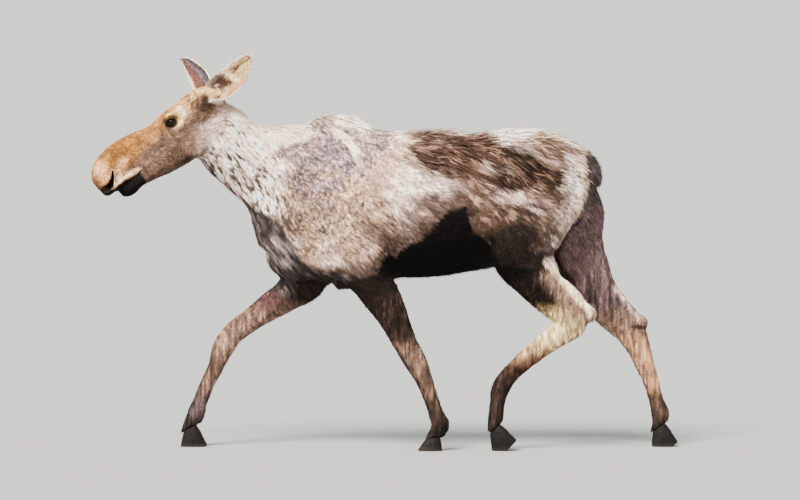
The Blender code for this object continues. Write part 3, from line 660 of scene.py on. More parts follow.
def ear_skin(name):
    """A long leaf with thick soft rims, rolled to a tube where it sinks into the head and open beyond."""
    root, axis, inward, side = ear_ways(name)
    grain = bpy.context.scene.moose_sizes.ear_grain
    stations = int(EAR_LENGTH / grain)
    across = 32
    rings = []
    for i in range(stations + 1):
        t = i / stations
        reach = -EAR_SUNK + t * (EAR_LENGTH + EAR_SUNK)
        leaf = max(0, (reach + EAR_FLARE) / (EAR_LENGTH + EAR_FLARE))
        width = float(ear_half_width(leaf, name))
        roll = math.radians(float(np.interp(leaf, (0, 0.2, 0.45, 1), (120, 72, 62, 54))))
        radius = width / math.sin(min(roll, math.pi / 2))
        bow = 0.02 * math.sin(math.pi * leaf)
        outer, inner = [], []
        for j in range(across + 1):
            place = 2 * j / across - 1
            angle = roll * place
            half = 0.0036 * (1 - 0.6 * leaf) * (1 - place**6) ** 0.5 + 0.0006
            ripple = 0.0006 * math.sin(9 * angle) * math.sin(math.pi * leaf) * (1 - abs(place))
            for row, rim in ((outer, radius + half + ripple), (inner, radius - half + ripple)):
                point = root + axis * reach - inward * (rim * math.cos(angle) - radius * 0.55 + bow)
                row.append(point + side * rim * math.sin(angle))
        rings.append(outer + inner[::-1])
    size = len(rings[0])
    faces = [tuple(range(size))[::-1], tuple(range(stations * size, (stations + 1) * size))]
    for i in range(stations):
        for j in range(size):
            k = (j + 1) % size
            faces.append((i * size + j, i * size + k, (i + 1) * size + k, (i + 1) * size + j))
    mesh = bpy.data.meshes.new(name)
    mesh.from_pydata([point for ring in rings for point in ring], [], faces)
    with editing(mesh) as whole:
        bmesh.ops.triangulate(whole, faces=[f for f in whole.faces if len(f.verts) > 4])
        bmesh.ops.recalc_face_normals(whole, faces=whole.faces)
    return new_object(name + "_skin", mesh)


def near_crease(points, first, second, reach):
    """1 where a point lies close to both of two meshes, easing to 0 at 1.5 times the reach."""
    weights = np.ones(len(points))
    for mesh_points in (first, second):
        tree = tree_of(mesh_points)
        gaps = np.array([tree.find(point)[2] for point in points])
        weights *= np.clip(1.5 - gaps / reach, 0, 1)
    return weights


def united(mesh, others):
    obj = new_object("union", mesh)
    for other in others:
        modifier = obj.modifiers.new("union", "BOOLEAN")
        modifier.operation = "UNION"
        modifier.solver = "MANIFOLD"
        modifier.object = other
    result = evaluated(obj)
    for other in others:
        bpy.data.objects.remove(other)
    return result


OVERLAP = 0.0007  # how much each length of flesh is grown before they are joined
LEG_PASSES, TRUNK_PASSES = 6, 120  # how often the facets of the legs and of the trunk are rounded
CREASE, CREASE_PASSES = 0.007, 14  # how wide the seam of ear and head is softened, and how often


def body_skin(grain):
    """The flesh in one mesh: rounded, most on the trunk, with its low forms, and sunk under the coat."""
    mesh = remeshed(joined_nodes(BODY_FLESH, OVERLAP), grain)
    points = points_of(mesh)
    edges = edges_of(mesh)
    on_trunk = np.clip((points[:, 2] - 0.8) / 0.1, 0, 1) * np.clip((points[:, 1] + 0.8) / 0.12, 0, 1)
    on_trunk = drawn_together(on_trunk, edges, 10)
    rough = rounded(points, edges, LEG_PASSES)
    smooth = rounded(rough, edges, TRUNK_PASSES)
    points = rough + (smooth - rough) * on_trunk[:, None]
    set_points(mesh, points)
    normals = vertex_normals(points, faces_of(mesh))
    on_side = np.clip(1.6 * np.abs(normals[:, 0]) - 0.2, 0, 1) * (points[:, 2] > 0.86)
    for _, line, width, height in BODY_FORMS:
        points = points + normals * (height * on_side * bell(side_gap(points, line), width))[:, None]
    set_points(mesh, points)
    parts = nearest_parts(points)
    depths = np.array([COAT_KINDS[kind_of(name)][1] for name in FLESH])[parts]
    depths = drawn_together(depths, edges, 12)
    set_points(mesh, points - vertex_normals(points, faces_of(mesh)) * depths[:, None])
    subdivide(mesh, np.isin(parts, HEAD_PARTS))
    return mesh


def shape_head(mesh):
    """Finer faces round the eyes, nostrils and mouth, and then the forms of the head."""
    for eye_reach, nostril_reach, mouth_reach in HEAD_REFINED:
        local = one_sided(in_head_frame(points_of(mesh)))
        by_eye = np.linalg.norm(local - EYE_MIDDLE, axis=1) < eye_reach
        by_nostril = to_line(local, NOSTRIL)[0] < nostril_reach
        subdivide(mesh, by_eye | by_nostril | (to_line(local, MOUTH)[0] < mouth_reach))
    points = points_of(mesh)
    edges = edges_of(mesh)
    around = (np.abs(in_head_frame(points) - HEAD_MIDDLE) < HEAD_HALF_SIZES).all(axis=1)
    points = np.where(around[:, None], drawn_together(points, edges, 3), points)
    shaped = from_head_frame(sculpt_head(in_head_frame(points), edges, faces_of(mesh)))
    set_points(mesh, np.where(around[:, None], shaped, points))


def with_ears(mesh):
    """The skin and both ears in one mesh, softened where they meet."""
    points = points_of(mesh)
    body_points = points[np.linalg.norm(in_head_frame(points) - POLL, axis=1) < 0.17]
    ears = [ear_skin("ear_left"), ear_skin("ear_right")]
    ear_points = np.concatenate([points_of(ear.data) for ear in ears])
    mesh = united(mesh, ears)
    points = points_of(mesh)
    edges = edges_of(mesh)
    close = np.linalg.norm(in_head_frame(points) - POLL, axis=1) < 0.15
    crease = np.zeros(len(points))
    crease[close] = near_crease(points[close], ear_points, body_points, CREASE)
    crease = np.clip(1.6 * drawn_together(crease, edges, 3), 0, 1)
    for _ in range(CREASE_PASSES):
        points = points + (drawn_together(points, edges, 1, 0.6) - points) * crease[:, None]
    set_points(mesh, points)
    return mesh


class MOOSE_OT_skin(bpy.types.Operator):
    """Grows one skin over the parted flesh"""

    bl_idname = "moose.skin"
    bl_label = "Skin"

    def execute(self, context):
        mesh = body_skin(context.scene.moose_sizes.grain)
        shape_head(mesh)
        skin = finished("skin", with_ears(mesh), skin_finish())
        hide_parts(*FLESH)
        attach(skin, "root")
        return {"FINISHED"}


# ---- markings ----

# Which way the hair lies: on the trunk and legs in the world, on the head in its own frame
DOWN_BACK = {
    "neck": (0, 0.6, -0.8),
    "forequarters": (0, 0.6, -0.8),
    "barrel": (0, 0.8, -0.6),
    "hindquarters": (0, 0.8, -0.6),
    "tail": (0, 0.15, -1.0),
}
LEG_LIE = (0, 0.12, -1.0)
LEG_KINDS = ("forearm", "gaskin", "fore_cannon", "hind_cannon", "fore_pastern", "hind_pastern")
HEAD_LIES = {"head": (0, 1.0, 0.1), "muzzle": (0, 1.0, -0.05), "lower_jaw": (0, 1.0, -0.15)}

# Coat of each part: slot, depth, length and width of a tuft, tufts to a square metre, how far tips stand out
COAT_KINDS = {
    "head": ("head_coat", 0.0025, 0.014, 0.0026, 72000, 0.1),
    "muzzle": ("muzzle_coat", 0.0015, 0.009, 0.0022, 72000, 0.07),
    "lower_jaw": ("jaw_coat", 0.002, 0.013, 0.0024, 72000, 0.12),
    "neck": ("neck_coat", 0.009, 0.036, 0.0046, 34000, 0.2),
    "forequarters": ("shoulder_coat", 0.007, 0.03, 0.0044, 34000, 0.15),
    "barrel": ("barrel_coat", 0.007, 0.03, 0.0044, 34000, 0.15),
    "hindquarters": ("haunch_coat", 0.008, 0.034, 0.0044, 34000, 0.17),
    "tail": ("tail_coat", 0.005, 0.03, 0.004, 40000, 0.2),
    "ear": ("ear_coat", 0.0, 0.011, 0.0026, 62000, 0.1),
    "forearm": ("forearm_coat", 0.004, 0.02, 0.0036, 42000, 0.1),
    "gaskin": ("gaskin_coat", 0.005, 0.024, 0.0038, 42000, 0.12),
    "fore_cannon": ("fore_cannon_coat", 0.0025, 0.014, 0.003, 50000, 0.08),
    "hind_cannon": ("hind_cannon_coat", 0.0025, 0.014, 0.003, 50000, 0.08),
    "fore_pastern": ("fore_pastern_coat", 0.002, 0.013, 0.0028, 60000, 0.1),
    "hind_pastern": ("hind_pastern_coat", 0.002, 0.013, 0.0028, 60000, 0.1),
}


def kind_of(part):
    """The row of COAT_KINDS for a node: left and right share one."""
    return part if part in COAT_KINDS else part.rsplit("_", 1)[0]


def noise(points, size, seed=0):
    """Smooth random values, 0 to 1, that change over the given size."""
    places = points / size + 11.7 * seed
    low = np.floor(places).astype(np.int64)
    part = places - low
    part = part * part * (3 - 2 * part)
    total = np.zeros(len(points))
    for corner in itertools.product((0, 1), repeat=3):
        x, y, z = (low + corner).T
        mix = x * 374761393 + y * 668265263 + z * 1442695041 + seed * 974711
        mix = (mix ^ (mix >> 13)) * 1274126177
        value = ((mix ^ (mix >> 16)) & 0xFFFFFF) / 0xFFFFFF
        total += value * np.prod(np.where(corner, part, 1 - part), axis=1)
    return total


# Marks of the body, seen from the side: colour, tone, middle (y, z), half sizes, turn in degrees, strength,
# share of dark tufts, and how long the hair grows. They lie one over the other, and both sides have them.
# Some rows paint light and shade, not hair: white highlights along the top line, and dark shade behind the
# elbow and under the chest.
BODY_MARKS = (
    ("beige", 0.78, (-0.41, 1.295), (0.11, 0.31), -8, 0.78, 0.3, 0.7),
    ("slate", 0.78, (-0.21, 1.435), (0.3, 0.2), 0, 0.92, 0.22, 0.5),
    ("beige", 0.54, (-0.31, 1.17), (0.2, 0.19), 0, 0.93, 0.3, 0.45),
    ("beige", 0.8, (-0.11, 1.185), (0.16, 0.18), 0, 0.85, 0.3, 0.5),
    ("beige", 0.75, (-0.435, 1.62), (0.08, 0.06), 0, 0.8, 0.35, 1.2),
    # Painted highlights: thin white strips along the top line of the withers, where the light falls on top of
    # the back.
    ("white", 0.55, (-0.285, 1.64), (0.12, 0.045), 0, 0.9, 0.15, 1.2),
    ("white", 1, (-0.175, 1.63), (0.12, 0.03), -18, 1, 0.03, 1.2),
    ("white", 1, (0.005, 1.595), (0.14, 0.02), -4, 0.9, 0.03, 1),
    ("rosy_brown", 2, (-0.445, 1.51), (0.075, 0.035), 0, 0.9, 0.15, 0.7),
    ("slate", 0.5, (-0.515, 1.485), (0.03, 0.04), -40, 0.75, 0.2, 0.8),
    ("slate", 0.8, (-0.395, 1.47), (0.085, 0.1), 0, 0.9, 0.18, 0.5),
    ("slate", 0.86, (-0.275, 1.485), (0.105, 0.11), 0, 1, 0.05, 0.3),
    ("slate", 0.8, (-0.295, 1.59), (0.08, 0.03), -10, 0.9, 0.15, 0.4),
    ("slate", 0.95, (-0.17, 1.435), (0.075, 0.07), 0, 0.9, 0.08, 0.35),
    ("slate", 0.9, (-0.045, 1.47), (0.1, 0.095), 0, 1, 0.06, 0.3),
    ("slate", 0.9, (-0.045, 1.575), (0.08, 0.03), -4, 0.85, 0.06, 0.45),
    ("slate", 0.95, (0.125, 1.565), (0.035, 0.025), 0, 0.9, 0, 0.5),
    ("rosy_white", 0.85, (-0.185, 1.53), (0.1, 0.02), -45, 0.85, 0.06, 0.9),
    ("rosy_white", 0.85, (-0.235, 1.57), (0.08, 0.02), -25, 0.8, 0.06, 0.9),
    ("rosy_white", 0.75, (-0.14, 1.44), (0.07, 0.015), -60, 0.8, 0.06, 0.9),
    ("slate", 0.62, (-0.395, 1.34), (0.08, 0.085), 0, 0.9, 0.25, 0.45),
    ("beige", 0.85, (-0.27, 1.375), (0.065, 0.03), 0, 0.8, 0.2, 0.5),
    ("slate", 0.74, (-0.28, 1.31), (0.08, 0.035), 0, 1, 0.02, 0.35),
    ("beige", 1.1, (-0.175, 1.305), (0.06, 0.07), 0, 0.75, 0.25, 0.6),
    ("slate", 0.7, (-0.295, 1.215), (0.065, 0.04), 0, 0.7, 0.2, 0.45),
    ("slate", 0.45, (-0.425, 1.155), (0.03, 0.04), 0, 0.8, 0.2, 0.5),
    ("slate", 0.5, (-0.325, 1.09), (0.045, 0.035), 0, 0.8, 0.2, 0.5),
    ("beige", 0.95, (-0.345, 1.005), (0.1, 0.07), -25, 0.9, 0.25, 0.6),
    ("white", 0.6, (-0.28, 1.015), (0.04, 0.04), 0, 0.8, 0.15, 0.6),
    ("beige", 0.9, (-0.125, 0.995), (0.15, 0.085), -10, 0.95, 0.22, 0.7),
    ("beige", 0.44, (-0.085, 1.105), (0.14, 0.045), -45, 0.85, 0.4, 0.9),
    ("beige", 1.25, (0.005, 1.32), (0.11, 0.19), 0, 0.8, 0.22, 0.8),
    ("rosy_white", 0.95, (0.125, 1.27), (0.13, 0.15), 0, 0.9, 0.12, 0.9),
    ("white", 1, (0.185, 1.34), (0.11, 0.06), -5, 1, 0.05, 1),
    ("beige", 1.05, (0.105, 1.495), (0.075, 0.085), -30, 0.8, 0.2, 1.2),
    # Painted highlight along the top of the back.
    ("white", 0.45, (0.29, 1.585), (0.26, 0.02), 0, 0.7, 0.25, 1.2),
    ("brown", 1.15, (0.255, 1.495), (0.175, 0.1), -20, 0.97, 0.1, 1.5),
    ("brown", 0.95, (0.415, 1.49), (0.19, 0.105), -8, 1, 0.06, 1.6),
    ("brown", 0.95, (0.295, 1.425), (0.18, 0.07), -20, 1, 0.06, 1.6),
    ("brown", 1.6, (0.445, 1.345), (0.14, 0.07), -38, 0.92, 0.12, 1.5),
    ("rosy_white", 0.45, (0.485, 1.42), (0.04, 0.03), -30, 0.7, 0.2, 1.4),
    ("taupe", 0.85, (0.59, 1.145), (0.21, 0.12), 0, 0.85, 0.1, 1),
    ("brown", 1.5, (0.47, 1.205), (0.1, 0.16), 10, 0.9, 0.08, 1.3),
    ("rosy_white", 0.85, (0.305, 1.315), (0.1, 0.035), -12, 0.9, 0.12, 1.2),
    ("taupe", 1, (0.415, 1.275), (0.12, 0.06), -30, 0.8, 0.1, 1.2),
    ("brown", 1.1, (0.305, 1.22), (0.16, 0.065), -12, 0.95, 0.06, 1.2),
    ("taupe", 0.8, (0.185, 1.135), (0.13, 0.05), -30, 0.85, 0.06, 1.1),
    ("taupe", 1, (0.825, 1.505), (0.23, 0.09), -14, 0.97, 0.2, 1.5),
    ("brown", 1.5, (0.865, 1.455), (0.12, 0.04), -30, 0.7, 0.1, 1.5),
    # Painted highlight along the top of the rump.
    ("rosy_white", 0.85, (0.875, 1.53), (0.13, 0.015), -22, 0.8, 0.1, 1.4),
    ("rosy_white", 0.8, (0.94, 1.445), (0.08, 0.03), -30, 0.7, 0.2, 1.3),
    # Painted highlight along the top of the hip.
    ("white", 1.05, (0.63, 1.575), (0.105, 0.035), 2, 1, 0.03, 1.3),
    ("rosy_white", 0.75, (0.625, 1.515), (0.09, 0.02), -14, 0.6, 0.2, 1.4),
    ("brown", 0.42, (0.695, 1.405), (0.2, 0.095), -18, 1, 0.03, 1.6),
    ("brown", 0.52, (0.635, 1.355), (0.165, 0.07), -10, 1, 0.03, 1.6),
    ("brown", 0.7, (0.815, 1.335), (0.1, 0.09), -35, 1, 0.05, 1.5),
    ("rosy_white", 1.15, (0.955, 1.305), (0.1, 0.17), 8, 1, 0.15, 0.9),
    ("slate", 0.6, (0.795, 1.21), (0.095, 0.075), -20, 0.85, 0.25, 0.9),
    ("rosy_white", 0.9, (0.89, 1.185), (0.065, 0.08), 0, 0.8, 0.22, 0.9),
    ("taupe", 0.95, (0.765, 1.255), (0.12, 0.06), -20, 0.85, 0.06, 1.1),
    ("rosy_white", 0.68, (0.605, 1.25), (0.085, 0.035), -4, 0.95, 0.06, 1),
    ("beige", 0.55, (0.565, 1.195), (0.09, 0.035), -4, 0.6, 0.1, 1),
    ("taupe", 0.75, (0.545, 1.115), (0.11, 0.09), 0, 0.9, 0.08, 1),
    ("slate", 0.35, (0.715, 1.195), (0.075, 0.045), -10, 0.85, 0.15, 1),
    ("beige", 0.42, (0.815, 1.125), (0.08, 0.04), -30, 0.8, 0.2, 1),
    ("brown", 0.7, (0.655, 1.135), (0.16, 0.1), -20, 0.9, 0.04, 1),
    ("dark_brown", 1.3, (0.7, 1.07), (0.13, 0.055), -10, 0.85, 0.03, 1),
    ("brown", 1, (0.815, 1.075), (0.075, 0.045), -15, 0.8, 0.04, 1),
    ("brown", 0.9, (0.785, 1.01), (0.1, 0.045), -10, 0.9, 0.04, 1),
    ("dark_brown", 1, (0.64, 0.925), (0.23, 0.165), -35, 1, 0.04, 1),
    ("black", 3, (0.56, 0.985), (0.1, 0.12), -35, 0.9, 0.03, 1),
    ("taupe", 0.75, (0.085, 1.075), (0.17, 0.07), -20, 0.9, 0.06, 1),
    ("brown", 1, (0.235, 1.115), (0.11, 0.075), -10, 0.85, 0.05, 1.1),
    ("brown", 0.9, (0.035, 1.01), (0.1, 0.065), -35, 0.9, 0.04, 1),
    # Painted shade in the fold behind the elbow: dark brown round it and black in the fold.
    ("brown", 0.5, (-0.015, 0.935), (0.08, 0.07), -20, 0.9, 0.02, 1),
    ("black", 5, (0.01, 0.935), (0.03, 0.04), -20, 0.9, 0.02, 1),
    # Painted shade along the underside of the chest.
    ("dark_brown", 2.2, (-0.325, 0.88), (0.19, 0.05), -14, 0.95, 0.2, 1),
    ("dark_brown", 2.6, (-0.125, 0.87), (0.21, 0.07), 0, 0.95, 0.15, 1),
)


def spot(points, middle, half_sizes, turn, wobble):
    """1 inside an ellipse seen from the side, 0 outside, with a ragged edge."""
    y, z = points[:, 1] - middle[0], points[:, 2] - middle[1]
    c, s = math.cos(math.radians(turn)), math.sin(math.radians(turn))
    share = np.hypot((y * c + z * s) / half_sizes[0], (z * c - y * s) / half_sizes[1]) * np.exp(wobble)
    return np.clip((1.22 - share) / 0.52, 0, 1)


def blended(colours, other, share):
    return colours + (np.asarray(other) - colours) * np.clip(share, 0, 1)[:, None]


def ramp(values, start, end):
    """0 at the start, 1 at the end, eased."""
    share = np.clip((values - start) / (end - start), 0, 1)
    return share * share * (3 - 2 * share)


def streaks(points, size, seed, slope=(0.8, -0.6)):
    """Random values drawn out down and back, the way the hair of the trunk lies."""
    y, z = points[:, 1], points[:, 2]
    along, over = y * slope[0] + z * slope[1], y * -slope[1] + z * slope[0]
    return noise(np.stack((points[:, 0], along * 0.25, over), axis=1), size, seed)


# The band along the neck, the edge of the breast and the top of the belly: how far back, and the height there
NECK_BAND = ((-0.755, 1.69), (-0.625, 1.6), (-0.51, 1.565), (-0.42, 1.59))
BREAST_EDGE = (
    (-0.7, 1.225), (-0.595, 1.18), (-0.515, 1.115), (-0.48, 1.035), (-0.435, 0.945), (-0.375, 0.905),
    (-0.21, 0.885),
)
BELLY_TOP = (
    (-0.2, 0.84), (-0.05, 0.885), (-0.02, 0.965), (0.01, 0.985), (0.035, 0.955), (0.05, 0.975),
    (0.065, 1.005), (0.165, 1.055), (0.215, 1.105), (0.265, 1.17), (0.3, 1.2), (0.38, 1.22),
    (0.395, 1.18), (0.42, 1.1), (0.485, 1.065), (0.515, 1.02), (0.565, 0.935), (0.8, 0.9),
)

# Where the pale rump ends and the dark back of the thighs begins: height, and how far back
STERN_EDGE = (
    (1.55, 0.975), (1.47, 0.98), (1.42, 0.99), (1.345, 1.005), (1.27, 0.995), (1.195, 0.965), (1.12, 0.915),
    (1.045, 0.865), (0.97, 0.832), (0.9, 0.865), (0.8, 0.96),
)


class Coat:
    """The hair at each point: its colour, the share of dark tufts in it and how long it grows."""

    def __init__(self, count, base, flecks=0.04):
        self.colours = np.tile(base, (count, 1))
        self.flecks = np.full(count, flecks)
        self.grow = np.ones(count)

    def paint(self, tint, share):
        self.colours = blended(self.colours, tint, share)

    def grain(self, roughness):
        """Darkens and lightens the colours by a random amount."""
        self.colours = self.colours * np.exp(roughness)[:, None]

    def lay(self, tint, share, flecks, grow):
        """Another coat over this one, with its own dark tufts and length."""
        self.paint(tint, share)
        self.flecks = self.flecks + (flecks - self.flecks) * share
        self.grow = self.grow + (grow - self.grow) * share


def body_coat(points, dyes, wobble):
    """The coat of the neck and trunk."""
    _, y, z = points.T
    coat = Coat(len(points), dyes.rosy_white * (1.04, 1.08, 1.1), 0.1)
    coat.flecks += 0.16 * ramp(y, -0.62, -0.48) * ramp(-z, -1.52, -1.4)
    fine = streaks(points, 0.012, 9)
    for key, tone, middle, half_sizes, turn, strength, few, length in BODY_MARKS:
        share = spot(points, middle, half_sizes, turn, wobble) * strength
        coat.lay(np.minimum(getattr(dyes, key) * tone, 0.95), share, few, length)

    # Old hair lies in strokes, and where it is shorn the new hair is mottled
    pale = coat.colours.mean(axis=1) > 0.1
    light = ramp(fine, 0.5, 0.8) * ~pale * (z > 1.15)
    coat.colours = coat.colours * (1 + 1.8 * light)[:, None]
    coat.paint(dyes.beige * 0.6, 0.2 * light)
    shorn = ramp(-coat.grow, -0.85, -0.55)
    dots = noise(points, 0.008, 21) - 0.5
    strokes = 1.5 * (fine - 0.48) + 0.9 * (streaks(points, 0.03, 15) - 0.5)
    mottle = 3.4 * dots + 1.1 * (noise(points, 0.028, 22) - 0.5)
    strokes = strokes * (0.65 + 0.35 * pale)
    coat.grain(strokes + (mottle - strokes) * shorn)
    coat.paint(dyes.cream * 0.8, 0.4 * shorn * ramp(dots, 0.08, 0.22) * (coat.flecks > 0.15))

    # The white band along the neck, its flecks, and the specks of shoulder, ribs and thigh
    band = ramp(-side_gap(points, NECK_BAND) + 0.018 * wobble, -0.062, -0.036)
    coat.paint(dyes.white * (0.85 + 0.3 * fine)[:, None], band * 0.95)
    on_neck = ramp(-y - 0.25 * (z - 1.3), 0.4, 0.54) * (1 - band)
    low = ramp(-z - 0.5 * (y + 0.6), -1.46, -1.18)
    behind_ear = spot(points, (-0.8, 1.685), (0.11, 0.06), 60, wobble)
    fleck = streaks(points, 0.0085, 24, (0.55, -0.83)) + 0.3 * low - 0.045
    fleck = fleck + 0.12 * (noise(points, 0.07, 25) - 0.5)
    dashes = ramp(streaks(points, 0.007, 26, (0.72, -0.69)), 0.6, 0.69)
    dashes *= spot(points, (-0.07, 1.11), (0.17, 0.19), -30, wobble)
    coat.paint(dyes.brown * 0.8, 0.8 * dashes)
    coat.paint(dyes.brown * 0.75, 0.95 * on_neck * ramp(fleck + 0.11 * behind_ear, 0.67, 0.735))
    coat.flecks = coat.flecks * (1 - 0.9 * band)
    ribs = spot(points, (0.165, 1.27), (0.17, 0.16), -10, wobble)
    coat.paint(dyes.slate * 0.42, 0.6 * ribs * ramp(noise(points, 0.01, 28), 0.57, 0.64))
    specks = ramp(streaks(points, 0.0085, 27), 0.58, 0.66)
    specks = specks * spot(points, (0.94, 1.29), (0.11, 0.2), -14, wobble)
    coat.paint(dyes.brown * 1.2, 0.65 * specks)

    # The dark breast
    ridge = np.where(y < -0.15, z - np.interp(y, *np.array(BREAST_EDGE).T), 1)
    breast = ramp(-ridge + 0.012 * wobble, -0.01, 0.008)
    # A painted highlight in beige along the ridge at the edge of the breast.
    edge = bell(ridge - 0.018, 0.016) * ramp(-y, 0.25, 0.4) * (y > -0.56)
    coat.paint(dyes.beige * 0.9, 0.7 * edge)
    deep = Coat(len(points), dyes.dark_slate * 0.9)
    deep.paint(dyes.dark_slate * 3.2, spot(points, (-0.545, 0.99), (0.085, 0.075), -30, 0.6 * wobble))
    deep.grain(3.0 * (streaks(points, 0.014, 4, (0.6, -0.8)) - 0.5))
    coat.paint(deep.colours, breast)
    coat.flecks = coat.flecks * (1 - 0.8 * breast)

    # The black belly
    top = np.interp(y, *np.array(BELLY_TOP).T)
    belly = ramp(top - z + 0.022 * wobble, -0.01, 0.01) * (y > -0.2)
    haze = bell(z - top, 0.06) * (y > 0.12) * (y < 0.5)
    coat.paint(dyes.brown * 0.8, 0.6 * haze * (0.6 + 0.8 * fine))
    coat.paint(dyes.black, belly)
    coat.flecks = coat.flecks * (1 - belly)
    # Painted shade on the underside of the chest, between the forelegs.
    coat.paint(dyes.dark_brown, 0.8 * (ramp(-z, -0.9, -0.84) * (y < 0.1) * (y > -0.45)))

    # The dark back of the thighs
    edge_z, edge_y = np.array(STERN_EDGE[::-1]).T
    behind = y - np.interp(z, edge_z, edge_y) + 0.01 * wobble
    coat.paint(dyes.beige * (1.35, 1.35, 1.0), 0.7 * (bell(behind + 0.018, 0.011) * ramp(z, 1.06, 1.16)))
    stern = ramp(behind, -0.01, 0.004)
    dark = Coat(len(points), dyes.dark_slate * 1.2)
    dark.paint(dyes.rosy_brown * 2.3, ramp(-z, -1.26, -1.18))
    # Painted shadow: a black line just behind the edge, low on the thighs.
    dark.paint(dyes.black * 4, bell(behind - 0.01, 0.018) * ramp(-z, -1.2, -1.1))
    dark.grain(1.2 * (fine - 0.5))
    coat.paint(dark.colours, stern)
    coat.flecks = coat.flecks * (1 - 0.7 * stern)
    return coat


# Painted shadow in the crease where the jaw meets the throat, a dark tuft on the throat, and the pale strip
# of the upper lip, in the head's frame
JAW_SHADOW_AND_THROAT_TUFT = (
    ((0.045, -0.181, -0.143), (0.05, -0.216, -0.136), (0.05, -0.258, -0.132)),
    ((0.024, -0.186, -0.2), (0.014, -0.174, -0.244), (0.012, -0.165, -0.262)),
)
LIP = ((0.056, -0.62, -0.022), (0.061, -0.567, -0.015), (0.056, -0.506, -0.027), (0.051, -0.472, -0.038))
LIP_WIDTHS = ((-0.62, -0.567, -0.506, -0.47), (0.028, 0.025, 0.022, 0.01))  # places, and how wide there
EAR_BUTT = ((0.068, -0.02, 0.125), (0.083, 0.028, 0.09), (0.052, 0.085, 0.075))


